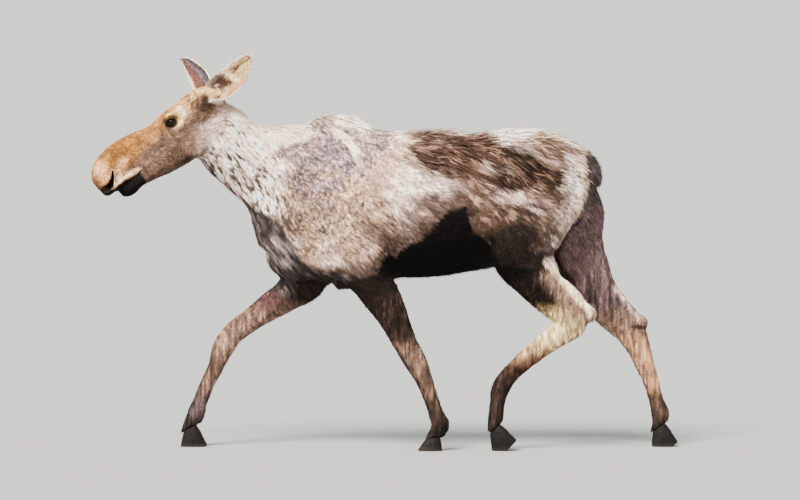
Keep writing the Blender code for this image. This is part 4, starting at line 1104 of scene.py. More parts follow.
def head_coat(points, dyes, wobble):
    """The coat of the head, worked out in its own frame."""
    side = one_sided(in_head_frame(points))
    _, y, z = side.T
    coat = Coat(len(points), dyes.taupe * 1.35, 0.05)

    def patch(middle, scale, ragged, reach):
        return fall(np.linalg.norm((side - middle) * scale, axis=1) + ragged * wobble, reach)

    # Bridge and front of the nose, poll and back of the cheek
    line = np.interp(y, (-0.6, -0.42, -0.25, -0.15), (-0.05, 0.03, 0.07, 0.12))
    bridge = ramp(z - line + 0.016 * wobble, -0.035, 0.045)
    coat.paint(dyes.tan * (0.93, 0.87, 0.72), bridge * ramp(-y, 0.08, 0.22))
    coat.paint(dyes.tan * 1.3, 0.7 * (ramp(-y, 0.2, 0.3) * ramp(y, -0.45, -0.33) * bridge))
    coat.paint(dyes.tan * 1.2 + 0.02, ramp(-y, 0.57, 0.67) * ramp(z, -0.06, 0.0))
    poll = ramp(y, -0.22, -0.12) * ramp(z, 0.05, 0.11)
    coat.paint(dyes.cream * (0.9, 0.72, 0.66), 0.9 * poll)
    coat.flecks += 0.42 * poll
    back = ramp(y - 0.6 * z, -0.16, -0.06) * ramp(-z, -0.05, 0.02)
    coat.paint(dyes.rosy_white * 0.8, 0.85 * back)
    coat.flecks += 0.12 * back
    coat.grow += 0.5 * back + 0.4 * poll

    # Round the eye
    eye_along, eye_up, _ = eye_frame(side)
    eye_gap = np.hypot((eye_along - 0.0035) / 1.36, eye_up / 0.98)
    ring = bell(eye_gap - 0.04, 0.01) * ramp(y + 0.3 * (z - 0.08), -0.235, -0.195)
    coat.paint(dyes.cream * (1.3, 1.2, 1.1), 0.85 * ring)
    fold = bell(eye_gap - 0.03, 0.006) * ramp(eye_up - 0.3 * eye_along, 0.0, 0.014)
    coat.paint(dyes.brown, 0.8 * fold)
    coat.paint(dyes.black * 3, 0.97 * ramp(-eye_gap + 0.003 * wobble, -0.0275, -0.0205))
    # Painted shade: dark brown along the tear groove. Then a painted highlight in cream along the groove's
    # front edge.
    tear_gap, along = to_line(side, TEAR_LINE)
    tear = ramp(along, 0.1, 0.3) * ramp(-along, -1.0, -0.85)
    coat.paint(dyes.dark_brown * 2, 0.95 * bell(tear_gap, 0.0055) * tear)
    before = tuple((a, b - 0.01, c) for a, b, c in TEAR_LINE[:3])
    coat.paint(dyes.cream * 0.8, 0.6 * bell(to_line(side, before)[0], 0.005))

    # Below the ear, the brow and temple, and the pale butt of the ear
    under_ear = patch((0.09, -0.015, 0.058), (1, 1, 1.1), 0.04, 0.092)
    coat.paint(dyes.brown * 0.55, 1.6 * under_ear)
    olive = patch((0.088, -0.04, 0.022), (1, 0.75, 1.25), 0.04, 0.085)
    olive *= 0.3 + 1.5 * noise(points, 0.014, 33)
    coat.paint(dyes.taupe * (0.7, 0.66, 0.5), 1.2 * olive * (1 - under_ear))
    coat.paint(dyes.brown * 1.8, 0.8 * patch((0.085, -0.07, 0.095), (1, 1, 1), 0.03, 0.052))
    specks = ramp(streaks(points, 0.0085, 31, (0.45, 0.89)), 0.5, 0.6)
    specks = specks * ramp(y, -0.15, -0.08) * ramp(z, 0.0, 0.06)
    coat.paint(dyes.brown * 0.7, 0.9 * specks)
    coat.paint(dyes.white * (1, 0.92, 0.75), 1.2 * patch((0.083, -0.15, 0.105), (1, 1.5, 0.75), 0.015, 0.04))
    butt = ramp(-to_line(side, EAR_BUTT)[0] + 0.01 * wobble, -0.026, -0.012)
    coat.paint(dyes.cream * (1.15, 1.12, 1.1), 0.95 * butt)
    coat.flecks = coat.flecks * (1 - 0.8 * butt)
    coat.grow += 0.9 * butt

    # Lip, nose and nostril
    share, bend, _ = nostril_share(side)
    mouth = np.interp(y, *np.array(MOUTH)[:, 1:].T)
    lip = ramp(-to_line(side, LIP)[0] / np.interp(y, *LIP_WIDTHS) + 0.25 * wobble, -1.2, -0.5)
    glow = np.interp(z - mouth, (0.0, 0.018, 0.045), (3.6, 2.6, 1.0))
    coat.paint(dyes.beige * glow[:, None] * (1, 0.94, 0.76), 0.95 * lip)
    # Painted highlights in beige on the front of the nose and on its wing behind the nostril.
    lit = 0.9 * bell(to_line(side, ((0.058, -0.64, 0.08), (0.06, -0.65, 0.0)))[0], 0.028)
    wing = to_line(side, ((0.066, -0.52, 0.045), (0.067, -0.57, 0.018)))[0]
    lit = np.maximum(lit, 0.65 * bell(wing, 0.022 + 0.01 * wobble))
    coat.paint(dyes.beige * (1.75, 1.45, 0.98), lit * ramp(share, 1.6, 2.4))
    # A painted highlight in pinkish white on the upper part of the nostril's rim.
    coat.paint(dyes.rosy_white * (0.42, 0.3, 0.26), 0.85 * bell(share - 1.7, 0.45) * ramp(bend, 0.5, 0.8))
    # Painted shade: black inside the nostril.
    coat.paint(dyes.black * 1.5, ramp(-share, -1.35, -1.05))
    rim = ramp(-y - 0.4 * z, 0.664, 0.694) * ramp(z, -0.06, -0.01)
    coat.paint(dyes.tan * (0.88, 0.78, 0.66), 0.85 * rim)
    # Painted shade on the underside of the nose: taupe, going over into black at the bottom.
    under = -z - 0.62 * (y + 0.695)
    on_nose = ramp(-y, 0.612, 0.63)
    shade = ramp(under, -0.03, 0.012) * on_nose * ramp(share, 0.9, 1.1)
    coat.paint(dyes.taupe * (0.8, 0.7, 0.6), 0.7 * shade)
    coat.paint(dyes.black * 2, ramp(under, 0.01, 0.019) * on_nose)

    # Chin and the edge of the jaw
    chin = ramp(mouth - z, -0.001, 0.004) * ramp(-y + 0.012 * wobble, 0.465, 0.49) * ramp(y, -0.636, -0.622)
    coat.paint(dyes.black * 2.5, chin)
    # Dark brown under the jaw: painted shade on its underside, where the hair also grows longer.
    under_jaw = ramp(-z - 0.1 * y + 0.02 * wobble, 0.128, 0.15) * ramp(-y, 0.14, 0.24) * (1 - chin)
    coat.paint(dyes.dark_brown * 2, 0.5 * under_jaw)
    coat.grow += 0.5 * under_jaw
    coat.grain(1.5 * (noise(points, 0.007, 12) - 0.5) + 0.9 * (noise(points, 0.03, 13) - 0.5))
    coat.flecks = coat.flecks * (1 - ramp(-y, 0.2, 0.3))
    return coat


# Colours down each leg: from what height, colour and tone
LEG_BANDS = {
    "fore_left": (
        (1, "rosy_brown", 1.1), (0.8, "dark_brown", 1.4), (0.53, "taupe", 1.1), (0.36, "taupe", 0.52),
        (0.24, "dark_brown", 1.7),
    ),
    "fore_right": (
        (1, "rosy_brown", (1.25, 0.95, 0.9)), (0.7, "taupe", 1.35), (0.6, "taupe", 2.1),
        (0.47, "taupe", 1.15), (0.26, "slate", 0.22), (0.14, "dark_brown", 2),
    ),
    "hind_left": (
        (1, "dark_brown", 0.7), (0.7, "cream", (0.78, 0.82, 0.95)), (0.505, "taupe", (1.5, 1.3, 1.1)),
        (0.45, "taupe", (0.3, 0.25, 0.21)), (0.36, "dark_brown", 1.6),
    ),
    "hind_right": (
        (1, "rosy_brown", 2.2), (0.82, "rosy_brown", 1.2), (0.68, "taupe", 1.4),
        (0.55, "beige", (0.78, 0.64, 0.52)), (0.28, "taupe", 0.5),
    ),
}


def leg_coat(points, dyes, wobble, normals):
    """The coat of the four legs: dark above and below, pale at the knee and hock."""
    x, y, z = points.T
    height = z + 0.022 * wobble
    legs = {}
    for leg, ((_, key, tone), *below) in LEG_BANDS.items():
        legs[leg] = Coat(len(points), getattr(dyes, key) * tone)
        for level, key, tone in below:
            legs[leg].paint(getattr(dyes, key) * tone, ramp(-height, -level - 0.05, -level + 0.05))
    stripe = side_gap(points, ((0.82, 0.96), (0.93, 0.83), (1.075, 0.665)))
    legs["hind_left"].paint(dyes.beige * 0.45, ramp(-stripe + 0.03 * wobble, -0.15, -0.05))
    legs["hind_left"].paint(dyes.white * (1, 0.96, 0.8), ramp(-stripe + 0.01 * wobble, -0.058, -0.03))
    coat = legs["hind_right"]
    fore = y < 0.42
    for leg, here in (("hind_left", x > 0), ("fore_right", fore), ("fore_left", (x > 0) & fore)):
        coat.colours = np.where(here[:, None], legs[leg].colours, coat.colours)
    right = x < 0
    streak = bell(side_gap(points, ((1.15, 0.8), (1.215, 0.72), (1.262, 0.655))), 0.012)
    coat.paint(dyes.white * 0.7, 0.7 * right * streak)
    notch = bell(side_gap(points, ((1.235, 0.612), (1.3, 0.6))), 0.013)
    coat.paint(dyes.black * 4, 0.9 * right * notch)
    low = np.where(fore, ramp(-z, -0.85, -0.4), ramp(-z, -0.6, -0.4))
    coat.paint(dyes.dark_brown, 0.75 * (ramp(-normals[:, 1], 0.25, 0.85) * low))
    coat.paint(dyes.black * 4, ramp(-height, -0.17, -0.09))
    fine = noise(np.stack((x, y, z * 0.3), axis=1), 0.01, 14)
    stripes = noise(np.stack((x * 0.8, y, z * 0.1), axis=1), 0.009, 18)
    coat.grain(1.8 * (fine - 0.5) + 1.7 * (stripes - 0.5))
    return coat


def ear_coat(points, dyes, inner, rim):
    """The coat of the ears: pale or slate hollows, painted shade in brown deep in them at the root, and white
    rims.
    """
    coat = Coat(len(points), dyes.taupe * 1.5)
    grain = noise(points, 0.012, 17) - 0.5
    on_left = points[:, 0] > HEAD_AT.x
    root_shade = np.zeros(len(points))
    for name, here in (("ear_left", on_left), ("ear_right", ~on_left)):
        u, v = ear_place(points, name)
        u, v = u + 0.1 * grain, v + 0.25 * grain
        if name == "ear_left":
            hollow = Coat(len(points), dyes.beige * (1.05, 0.95, 0.66))
            hollow.paint(dyes.cream * 0.9, ramp(u, 0.45, 0.65) * ramp(-v, -0.6, -0.2))
            hollow.paint(dyes.taupe * 1.6, 0.8 * bell(v - 0.72, 0.12) * ramp(u, 0.35, 0.5))
            line = np.interp(u, (0.4, 0.52, 0.73, 0.95), (-0.55, -0.66, -0.5, -0.25))
            hollow.paint(dyes.dark_slate * 0.4, 0.97 * (bell(v - line, 0.09) * ramp(u, 0.3, 0.42)))
            # Painted shade in brown where the hollow deepens at the root.
            cavity_shade = ramp(-u, -0.31, -0.2) * ramp(-v, -0.05, 0.3)
            hollow.paint(dyes.brown * (0.7, 0.7, 0.75), 0.97 * cavity_shade)
            strip = bell(u - 0.33 - 0.1 * (v + 0.5), 0.05) * ramp(-v, -0.3, 0.0)
            hollow.paint(dyes.white * (1, 0.95, 0.85), 0.85 * strip)
        else:
            hollow = Coat(len(points), dyes.slate * (0.62, 0.72, 0.8))
            hollow.paint(dyes.rosy_brown * (1.9, 1.3, 1.0), ramp(-v, -0.1, 0.35))
            # Painted shade in brown where the hollow deepens at the root.
            cavity_shade = ramp(-u, -0.42, -0.22)
            hollow.paint(dyes.brown, 0.9 * cavity_shade)
        coat.paint(hollow.colours, inner * here)
        root_shade = np.maximum(root_shade, cavity_shade * here * inner * ramp(-v, 0.0, 0.3))
    # The white rims give way to the painted shade at the root.
    rim = rim * (1 - 0.85 * root_shade)
    coat.paint(dyes.white * (1, 0.97, 0.92), rim)
    coat.grain(0.8 * grain)
    coat.flecks += 0.08 * inner
    coat.grow += 0.9 * inner * (1 - rim)
    return coat


class Skin:
    """What the coat needs to know of the skin at each vertex and each triangle."""

    def __init__(self, mesh):
        self.points = points_of(mesh)
        self.normals = normals_of(mesh)
        self.edges = edges_of(mesh)
        self.triangles = faces_of(mesh)
        self.parts = nearest_parts(self.points)
        a, b, c = (self.points[corner] for corner in self.triangles.T)
        self.areas = np.linalg.norm(np.cross(b - a, c - a), axis=1) / 2
        kinds = list(COAT_KINDS)
        self.kinds = np.array([kinds.index(kind_of(name)) for name in FLESH])[self.parts]
        self.lay_hair()
        self.mark()

    def share_of(self, names, passes):
        chosen = np.isin(self.parts, [FLESH.index(n) for n in FLESH if kind_of(n) in names])
        return drawn_together(chosen.astype(float), self.edges, passes)

    def lay_hair(self):
        """The way the hair lies, and the sizes of its tufts, eased from part to part."""
        turn = np.array(HEAD_TURN)
        lies = []
        for name in FLESH:
            if name in HEAD_LIES:
                lies.append(turn @ np.array(HEAD_LIES[name]))
            elif name.startswith("ear"):
                low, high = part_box(name)
                tip = np.array((*(high if "left" in name else low).xy, high.z))
                lies.append(tip - np.array(HEAD_AT) - turn @ np.array((0, 0, 0.08)))
            else:
                lies.append(np.array(DOWN_BACK.get(name, LEG_LIE)))
        lies = unit(np.array(lies))[self.parts]
        thigh = ramp(-self.points[:, 2], -1.25, -0.95) * (self.points[:, 1] > 0.45)
        lies = drawn_together(lies + thigh[:, None] * (0, -0.5, -0.8), self.edges, 40)
        self.lies = unit(lies - self.normals * np.sum(lies * self.normals, axis=1)[:, None])
        table = np.array([row[1:] for row in COAT_KINDS.values()])
        self.sizes = drawn_together(table[self.kinds], self.edges, 12)

    def mark(self):
        """The colours of the skin, and where it is bare: inside the nostrils and between the lids."""
        colours = bpy.context.scene.moose_colours
        names = MooseColours.__annotations__
        self.dyes = SimpleNamespace(**{name: np.array(getattr(colours, name)) for name in names})
        shares = self.share_of(HEAD_LIES, 6), self.share_of(("ear",), 2), self.share_of(LEG_KINDS, 8)
        self.shares = np.stack((*shares, *self.ear_shares()), axis=1)
        self.colours = self.coat_at(self.points, self.normals, self.shares).colours
        local = one_sided(in_head_frame(self.points))
        nostril, _, _ = nostril_share(local)
        along, up, _ = eye_frame(local)
        at_eye = (np.linalg.norm(local - EYE_MIDDLE, axis=1) < 0.05) & (np.abs(along) < 0.026)
        self.haired = 1.0 - ((nostril < 1.25) | (at_eye & (opening_share(along, up) < 1.28)))

    def coat_at(self, points, normals, shares):
        """The coat at each point, from how much of it is head, ear, leg, ear's hollow and ear's rim."""
        wobble = (noise(points, 0.08, 1) - 0.5) * 0.34 + (streaks(points, 0.026, 2) - 0.5) * 0.4
        wobble += (streaks(points, 0.011, 3) - 0.5) * 0.28
        head, ear, leg, inner, rim = shares.T
        coat = body_coat(points, self.dyes, wobble)
        for share, over in (
            (leg, leg_coat(points, self.dyes, wobble, normals)),
            (head, head_coat(points, self.dyes, wobble)),
            (ear, ear_coat(points, self.dyes, inner, rim)),
        ):
            coat.lay(over.colours, share, over.flecks, over.grow)
        side = one_sided(in_head_frame(points))
        # The painted shadow in the crease under the jaw, and the dark tuft of the throat.
        for line in JAW_SHADOW_AND_THROAT_TUFT:
            gap, _ = to_line(side, line)
            coat.paint(self.dyes.black * 5, 0.95 * ramp(-gap + 0.008 * wobble, -0.024, -0.012))
        return coat

    def ear_shares(self):
        """How far each point of the ears lies in the hollow, and how near the rim."""
        inner, rim = np.zeros((2, len(self.points)))
        for name, (_, _, hollow) in EARS.items():
            near = self.parts == FLESH.index(name)
            inner[near] = ramp(self.normals[near] @ np.array(Vector(hollow).normalized()), -0.1, 0.3)
            _, across = ear_place(self.points[near], name)
            rim[near] = ramp(np.abs(across), 0.8, 0.92)
        return inner, rim


@functools.cache
def skin_facts():
    return Skin(bpy.data.objects["skin"].data)


# ---- coat ----


def mesh_of(name, points, triangles):
    mesh = bpy.data.meshes.new(name)
    mesh.vertices.add(len(points))
    mesh.vertices.foreach_set("co", points.astype(np.float32).ravel())
    mesh.loops.add(triangles.size)
    mesh.loops.foreach_set("vertex_index", triangles.astype(np.int32).ravel())
    mesh.polygons.add(len(triangles))
    mesh.polygons.foreach_set("loop_start", np.arange(0, triangles.size, 3, dtype=np.int32))
    mesh.polygons.foreach_set("use_smooth", np.ones(len(triangles), bool))
    mesh.update(calc_edges=True)
    return mesh


def unwrapped(points, triangles):
    """The skin's own shape laid flat in pieces: a place on the map for each corner of each triangle."""
    used, compact = np.unique(triangles, return_inverse=True)
    obj = new_object("unwrap", mesh_of("unwrap", points[used], compact.reshape(-1, 3)))
    bpy.context.view_layer.objects.active = obj
    obj.select_set(True)
    bpy.ops.object.mode_set(mode="EDIT")
    bpy.ops.mesh.select_all(action="SELECT")
    bpy.ops.uv.smart_project(angle_limit=math.radians(66), island_margin=0.004)
    bpy.ops.object.mode_set(mode="OBJECT")
    places = np.empty(triangles.size * 2, np.float32)
    obj.data.uv_layers.active.data.foreach_get("uv", places)
    bpy.data.objects.remove(obj)
    return places.reshape(-1, 3, 2)


# Faces of a tuft with one or two rings: its root, then left, right and top of each ring, then its tip
RING_FACES = {
    1: ((0, 2, 1), (0, 1, 3), (0, 3, 2), (4, 1, 2), (4, 3, 1), (4, 2, 3)),
    2: (
        (0, 2, 1), (0, 1, 3), (0, 3, 2),
        (1, 2, 5), (1, 5, 4), (1, 4, 6), (1, 6, 3), (3, 6, 5), (3, 5, 2),
        (7, 4, 5), (7, 6, 4), (7, 5, 6),
    ),
}
# Where along the tuft each ring lies, and its share of the width
RINGS = {1: ((0.4, 1.0),), 2: ((0.26, 1.0), (0.64, 0.72))}
# Painted shade: each tuft is darkened at its root, where the tufts shade each other; towards its tip it is a
# little lighter.
ROOT_PAINTED_SHADE, TIP_SHADE = 0.75, 1.06
# How much tufts differ: shares of their length, width and lift, then how far they swirl, bend and change tone
LENGTHS, WIDTHS, LIFTS = (0.65, 1.25), (0.7, 1.3), (0.2, 1.4)
SWIRL, BEND, TONES = 0.15, 0.07, 0.24
BAKE_PATCH = 0.003  # each tuft's patch on the map of its piece


def scattered(skin, chosen, rng, weight):
    """Roots spread over the chosen triangles: each one's triangle and its shares of the three corners."""
    density = skin.sizes[:, 3] * weight
    weights = skin.areas[chosen] * density[skin.triangles[chosen]].mean(axis=1)
    total = np.cumsum(weights)
    count = int(total[-1])
    places = (np.arange(count) + rng.random(count)) / count * total[-1]
    picked = chosen[np.minimum(np.searchsorted(total, places), len(chosen) - 1)]
    u, v = rng.random(count), rng.random(count)
    over = u + v > 1
    u[over], v[over] = 1 - u[over], 1 - v[over]
    return picked, np.stack((1 - u - v, u, v), axis=1)


def tuft_colours(coat, roots, dark, rng):
    """One colour for each tuft: the coat's, or for some a dark or a paler one, and no two quite alike."""
    count = len(roots)
    colours = coat.colours
    flecked = rng.random(count) < coat.flecks * np.clip(0.1 + 1.8 * noise(roots, 0.018, 7), 0, 2)
    bright = colours.mean(axis=1)
    chance_of_pale = np.where(bright < 0.07, 1.0, np.where(bright < 0.3, 0.5, 0.0))
    pale = chance_of_pale > rng.random(count)
    other = np.where(pale[:, None], np.minimum(colours * 2.2, 0.9), dark + colours * 0.1)
    colours = np.where(flecked[:, None], colours + (other - colours) * 0.9, colours)
    return colours * np.exp(rng.normal(0, TONES, count))[:, None]


def lay_map(mesh, places, rings, triangles):
    """The map OFBake: a small patch for each tuft, at its root's own place."""
    half = BAKE_PATCH / 2
    across = np.zeros((3 * rings + 2, 2))
    across[0], across[-1] = (0, -half), (0, half)
    for ring, (share, _) in enumerate(RINGS[rings]):
        level = half * (2 * share - 1)
        across[1 + 3 * ring : 4 + 3 * ring] = ((-half, level), (half, level), (0, level))
    spread = (np.clip(places, half, 1 - half)[:, None] + across).reshape(-1, 2)
    layer = mesh.uv_layers.new(name="OFBake")
    layer.data.foreach_set("uv", spread[triangles.ravel()].astype(np.float32).ravel())


def tuft_mesh(name, skin, chosen, rng, rings=1, stretch=1.0, weight=1.0, stand=1.0):
    """Tufts over the chosen triangles, each a thin closed lock along the lie of the hair."""
    picked, shares = scattered(skin, chosen, rng, skin.haired * weight)
    corners = skin.triangles[picked]
    count = len(picked)

    def at(values):
        return np.einsum("ij,ij...->i...", shares, values[corners])

    root, normal, lie = at(skin.points), unit(at(skin.normals)), unit(at(skin.lies))
    _, length, width, _, lift = at(skin.sizes).T
    coat = skin.coat_at(root + lie * (0.35 * length)[:, None], normal, at(skin.shares))
    length = length * stretch * coat.grow * rng.uniform(*LENGTHS, count)
    width = width * rng.uniform(*WIDTHS, count) * np.clip(coat.grow, 0.75, 1.1)
    drift = (noise(root, 0.05, 5) - 0.5) * 0.9 + rng.normal(0, SWIRL, count)
    lie = unit(lie + np.cross(normal, lie) * drift[:, None])
    side = np.cross(normal, lie)
    height = length * lift * stand * rng.uniform(*LIFTS, count)
    bend = length * rng.normal(0, BEND, count)

    points = np.empty((count, 3 * rings + 2, 3))
    points[:, 0] = root - normal * (0.0012 + 0.1 * width[:, None]) - lie * 0.0005
    for ring, (share, wide) in enumerate(RINGS[rings]):
        rise = height * share**0.8 + width * 0.1
        middle = root + lie * (length * share)[:, None] + normal * rise[:, None]
        middle = middle + side * (bend * share**2)[:, None]
        half = width * wide / 2
        points[:, 1 + 3 * ring] = middle - side * half[:, None]
        points[:, 2 + 3 * ring] = middle + side * half[:, None]
        points[:, 3 + 3 * ring] = middle + normal * (half * 0.5)[:, None]
    points[:, -1] = root + lie * length[:, None] + normal * (height * 0.9)[:, None] + side * bend[:, None]

    size = points.shape[1]
    triangles = (np.arange(count)[:, None, None] * size + np.array(RING_FACES[rings])).reshape(-1, 3)
    mesh = mesh_of(name, points.reshape(-1, 3), triangles)
    soft = unit(normals_of(mesh) * 0.55 + np.repeat(normal, size, axis=0))
    mesh.normals_split_custom_set_from_vertices(soft)

    # Painted shade at each tuft's root, and a little lighter at its tip.
    shade = np.ones((size, 1))
    shade[0], shade[-1] = ROOT_PAINTED_SHADE, TIP_SHADE
    colours = tuft_colours(coat, root, skin.dyes.brown * 1.4, rng)
    paint(mesh, "coat", np.clip(colours[:, None] * shade, 0, 1).reshape(-1, 3))

    used = np.unique(picked)
    flat = unwrapped(skin.points, skin.triangles[used])
    place = np.einsum("ij,ijk->ik", shares, flat[np.searchsorted(used, picked)])
    lay_map(mesh, place, rings, triangles)
    return mesh


# Coat pieces: name and kinds of part. Each has a left and a right one, but the ears share theirs.
COAT_PIECES = (
    ("face", ("head", "muzzle", "lower_jaw")),
    ("ears", ("ear",)),
    ("neck", ("neck",)),
    ("shoulder", ("forequarters",)),
    ("barrel", ("barrel",)),
    ("haunch", ("hindquarters", "tail")),
    ("foreleg", ("forearm", "fore_cannon", "fore_pastern")),
    ("hind_leg", ("gaskin", "hind_cannon", "hind_pastern")),
)


class MOOSE_OT_coat(bpy.types.Operator):
    """Grows the tufts of the coat over the skin"""

    bl_idname = "moose.coat"
    bl_label = "Coat"

    def execute(self, context):
        skin = skin_facts()
        paint(bpy.data.objects["skin"].data, "coat", skin.colours)
        material = hair_finish()
        rng = np.random.default_rng(11)
        kinds = list(COAT_KINDS)
        kind = skin.kinds[skin.triangles[:, 0]]
        middles = skin.points[skin.triangles].mean(axis=1)
        on_head = np.isin(kind, [kinds.index(n) for n in HEAD_LIES])
        right = np.where(on_head, in_head_frame(middles)[:, 0], middles[:, 0]) < 0.0
        for region, names in COAT_PIECES:
            fits = np.isin(kind, [kinds.index(n) for n in names])
            sides = {"_left": fits & ~right, "_right": fits & right} if region != "ears" else {"": fits}
            for side, here in sides.items():
                name = f"coat_{region}{side}"
                piece = finished(name, tuft_mesh(name, skin, np.flatnonzero(here), rng), material)
                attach(piece, "root")
        return {"FINISHED"}


# Longer locks over the coat: piece, slot, middle (y, z), half sizes, turn, length over the coat's, share of
# its tufts, how far they stand out
LONG_HAIR = (
    ("coat_mane", "neck_coat", (-0.58, 1.6), (0.3, 0.07), -8, 1.35, 0.2, 1.5),
    ("coat_withers", "shoulder_coat", (-0.22, 1.64), (0.3, 0.05), 0, 1.6, 0.2, 1.6),
    ("coat_back", "barrel_coat", (0.32, 1.5), (0.3, 0.15), -14, 1.5, 0.22, 2.0),
    ("coat_rump", "haunch_coat", (0.72, 1.47), (0.32, 0.16), -14, 1.45, 0.2, 1.9),
    ("coat_belly", "barrel_coat", (0.28, 0.88), (0.36, 0.07), 0, 1.2, 0.12, 2.0),
)


class MOOSE_OT_long_hair(bpy.types.Operator):
    """Lays longer locks over the neck, the withers, the back, the rump and the belly"""

    bl_idname = "moose.long_hair"
    bl_label = "Long hair"

    def execute(self, context):
        skin = skin_facts()
        material = bpy.data.materials["moose_hair"]
        rng = np.random.default_rng(23)
        wobble = noise(skin.points, 0.05, 6) - 0.5
        on_trunk = skin.shares[:, :3].sum(axis=1) < 0.1
        for name, slot, middle, half_sizes, turn, stretch, share, stand in LONG_HAIR:
            weight = spot(skin.points, middle, half_sizes, turn, wobble) * on_trunk
            chosen = np.flatnonzero(weight[skin.triangles].mean(axis=1) > 0.05)
            mesh = tuft_mesh(name, skin, chosen, rng, 2, stretch, weight * share, stand)
            piece = finished(name, mesh, material)
            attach(piece, "root")
        return {"FINISHED"}


# ---- eyes ----


EYE_RINGS, EYE_AROUND = 40, 64
BALL_RADIUS = EYE_RADIUS - 0.0003
CORNEA = 0.045  # how far the clear front stands out, as a share of the radius
IRIS, PUPIL, IRIS_EDGE = (0.02, 0.009, 0.004), (0.0015, 0.0018, 0.003), (0.004, 0.002, 0.0015)
EYE_WHITE = (0.05, 0.035, 0.03)
LASHES = 46
LASH_THICK = 0.0004


def at_eye(along, up, out):
    """Places at the left eye, in the head's frame, from how far they lie along it, up and out."""
    return EYE_MIDDLE + along[:, None] * EYE_LONG + up[:, None] * EYE_UP + out[:, None] * EYE_OUT


def eyeball_mesh(name, mirror):
    """A ball with a bulging clear front, painted with a ringed iris and a long pupil."""
    theta = np.linspace(0, math.pi, EYE_RINGS + 1)[1:-1]
    phi = np.arange(EYE_AROUND) * 2 * math.pi / EYE_AROUND
    t, p = (grid.ravel() for grid in np.meshgrid(theta, phi, indexing="ij"))
    radius = BALL_RADIUS * (1 + CORNEA * np.exp(-((t / 0.52) ** 4)))
    rows = np.stack((np.sin(t) * np.cos(p), np.sin(t) * np.sin(p), np.cos(t)), axis=1) * radius[:, None]
    rows = np.vstack((rows, (0, 0, BALL_RADIUS * (1 + CORNEA)), (0, 0, -BALL_RADIUS)))
    faces = []
    top, bottom = len(t), len(t) + 1
    last = len(t) - EYE_AROUND
    for j in range(EYE_AROUND):
        k = (j + 1) % EYE_AROUND
        faces += [(top, j, k), (bottom, last + k, last + j)]
        for a in range(0, last, EYE_AROUND):
            faces += [(a + j, a + EYE_AROUND + j, a + k), (a + k, a + EYE_AROUND + j, a + EYE_AROUND + k)]
    places = from_head_frame(at_eye(*rows.T) * (mirror, 1, 1))
    mesh = mesh_of(f"eye_{name}_wet", places, np.array(faces)[:, ::mirror])
    t, p = np.append(t, (0, math.pi)), np.append(p, (0, 0))
    rays = noise(np.stack((p * 6, t * 2, t * 0), axis=1), 0.5, 2)
    tint = np.array(IRIS) * (0.7 + 0.6 * rays)[:, None]
    to_middle = np.hypot(np.sin(t) * np.cos(p) / 0.42, np.sin(t) * np.sin(p) / 0.24)
    tint = blended(tint, PUPIL, ramp(-to_middle, -1.15, -0.9))
    tint = blended(tint, IRIS_EDGE, ramp(t, 0.62, 0.74))
    paint(mesh, "iris", blended(tint, EYE_WHITE, ramp(t, 0.95, 1.15)))
    return mesh


def lash_mesh(name, mirror):
    """Lashes along the upper lid, fanned out and drooping at their tips."""
    rng = np.random.default_rng(3)
    share = np.linspace(-0.92, 0.92, LASHES)
    length, height = OPENING
    along = share * length
    up = height * 1.08 * np.clip(1 - share**2, 0, 1) ** 0.75 + 0.0012
    out = np.sqrt(np.maximum((EYE_RADIUS + 0.0022) ** 2 - along**2 - up**2, 0))
    base = at_eye(along, up, out)
    way = EYE_OUT * 0.75 + EYE_UP * rng.uniform(0.1, 0.5, LASHES)[:, None] + EYE_LONG * (share * 0.6)[:, None]
    way = unit(way + rng.normal(0, 0.07, (LASHES, 3)))
    long = rng.uniform(0.009, 0.016, LASHES) * (1 - 0.4 * share**2)
    across = unit(np.cross(way, EYE_UP))
    droop = -EYE_UP * 0.22
    points = np.empty((LASHES, 8, 3))
    points[:, 0] = base - way * 0.002
    for ring, (at, wide) in enumerate(RINGS[2]):
        middle = base + way * (long * at)[:, None] + droop * (long * at * at)[:, None]
        for corner, offset in enumerate((-across, across, EYE_UP)):
            points[:, 1 + 3 * ring + corner] = middle + offset * LASH_THICK * wide
    points[:, 7] = base + way * long[:, None] + droop * long[:, None]
    places = from_head_frame(points.reshape(-1, 3) * (mirror, 1, 1))
    triangles = (np.arange(LASHES)[:, None, None] * 8 + np.array(RING_FACES[2])).reshape(-1, 3)
    return mesh_of(f"lashes_{name}", places, triangles[:, ::mirror])


class MOOSE_OT_eyes(bpy.types.Operator):
    """Makes the eyes, dark with a long pupil, and the lashes"""

    bl_idname = "moose.eyes"
    bl_label = "Eyes"

    def execute(self, context):
        material = eye_finish()
        lash_material = lash_finish(np.array(context.scene.moose_colours.black))
        for name, mirror in (("left", 1), ("right", -1)):
            ball = finished(f"eyeball_{name}", eyeball_mesh(name, mirror), material)
            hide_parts(f"eye_{name}")
            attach(ball, "root")
            lashes = finished(f"lashes_{name}", lash_mesh(name, mirror), lash_material)
            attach(lashes, "root")
        return {"FINISHED"}


# ---- hooves ----


HORN_GRAIN, HORN_PASSES = 0.0028, 12  # size of the horn's faces, and how often they are rounded
HORN_SWELL = 0.0004  # how much each claw is grown to make up for the rounding
SOLE = 0.003  # what lies lower than this stays flat


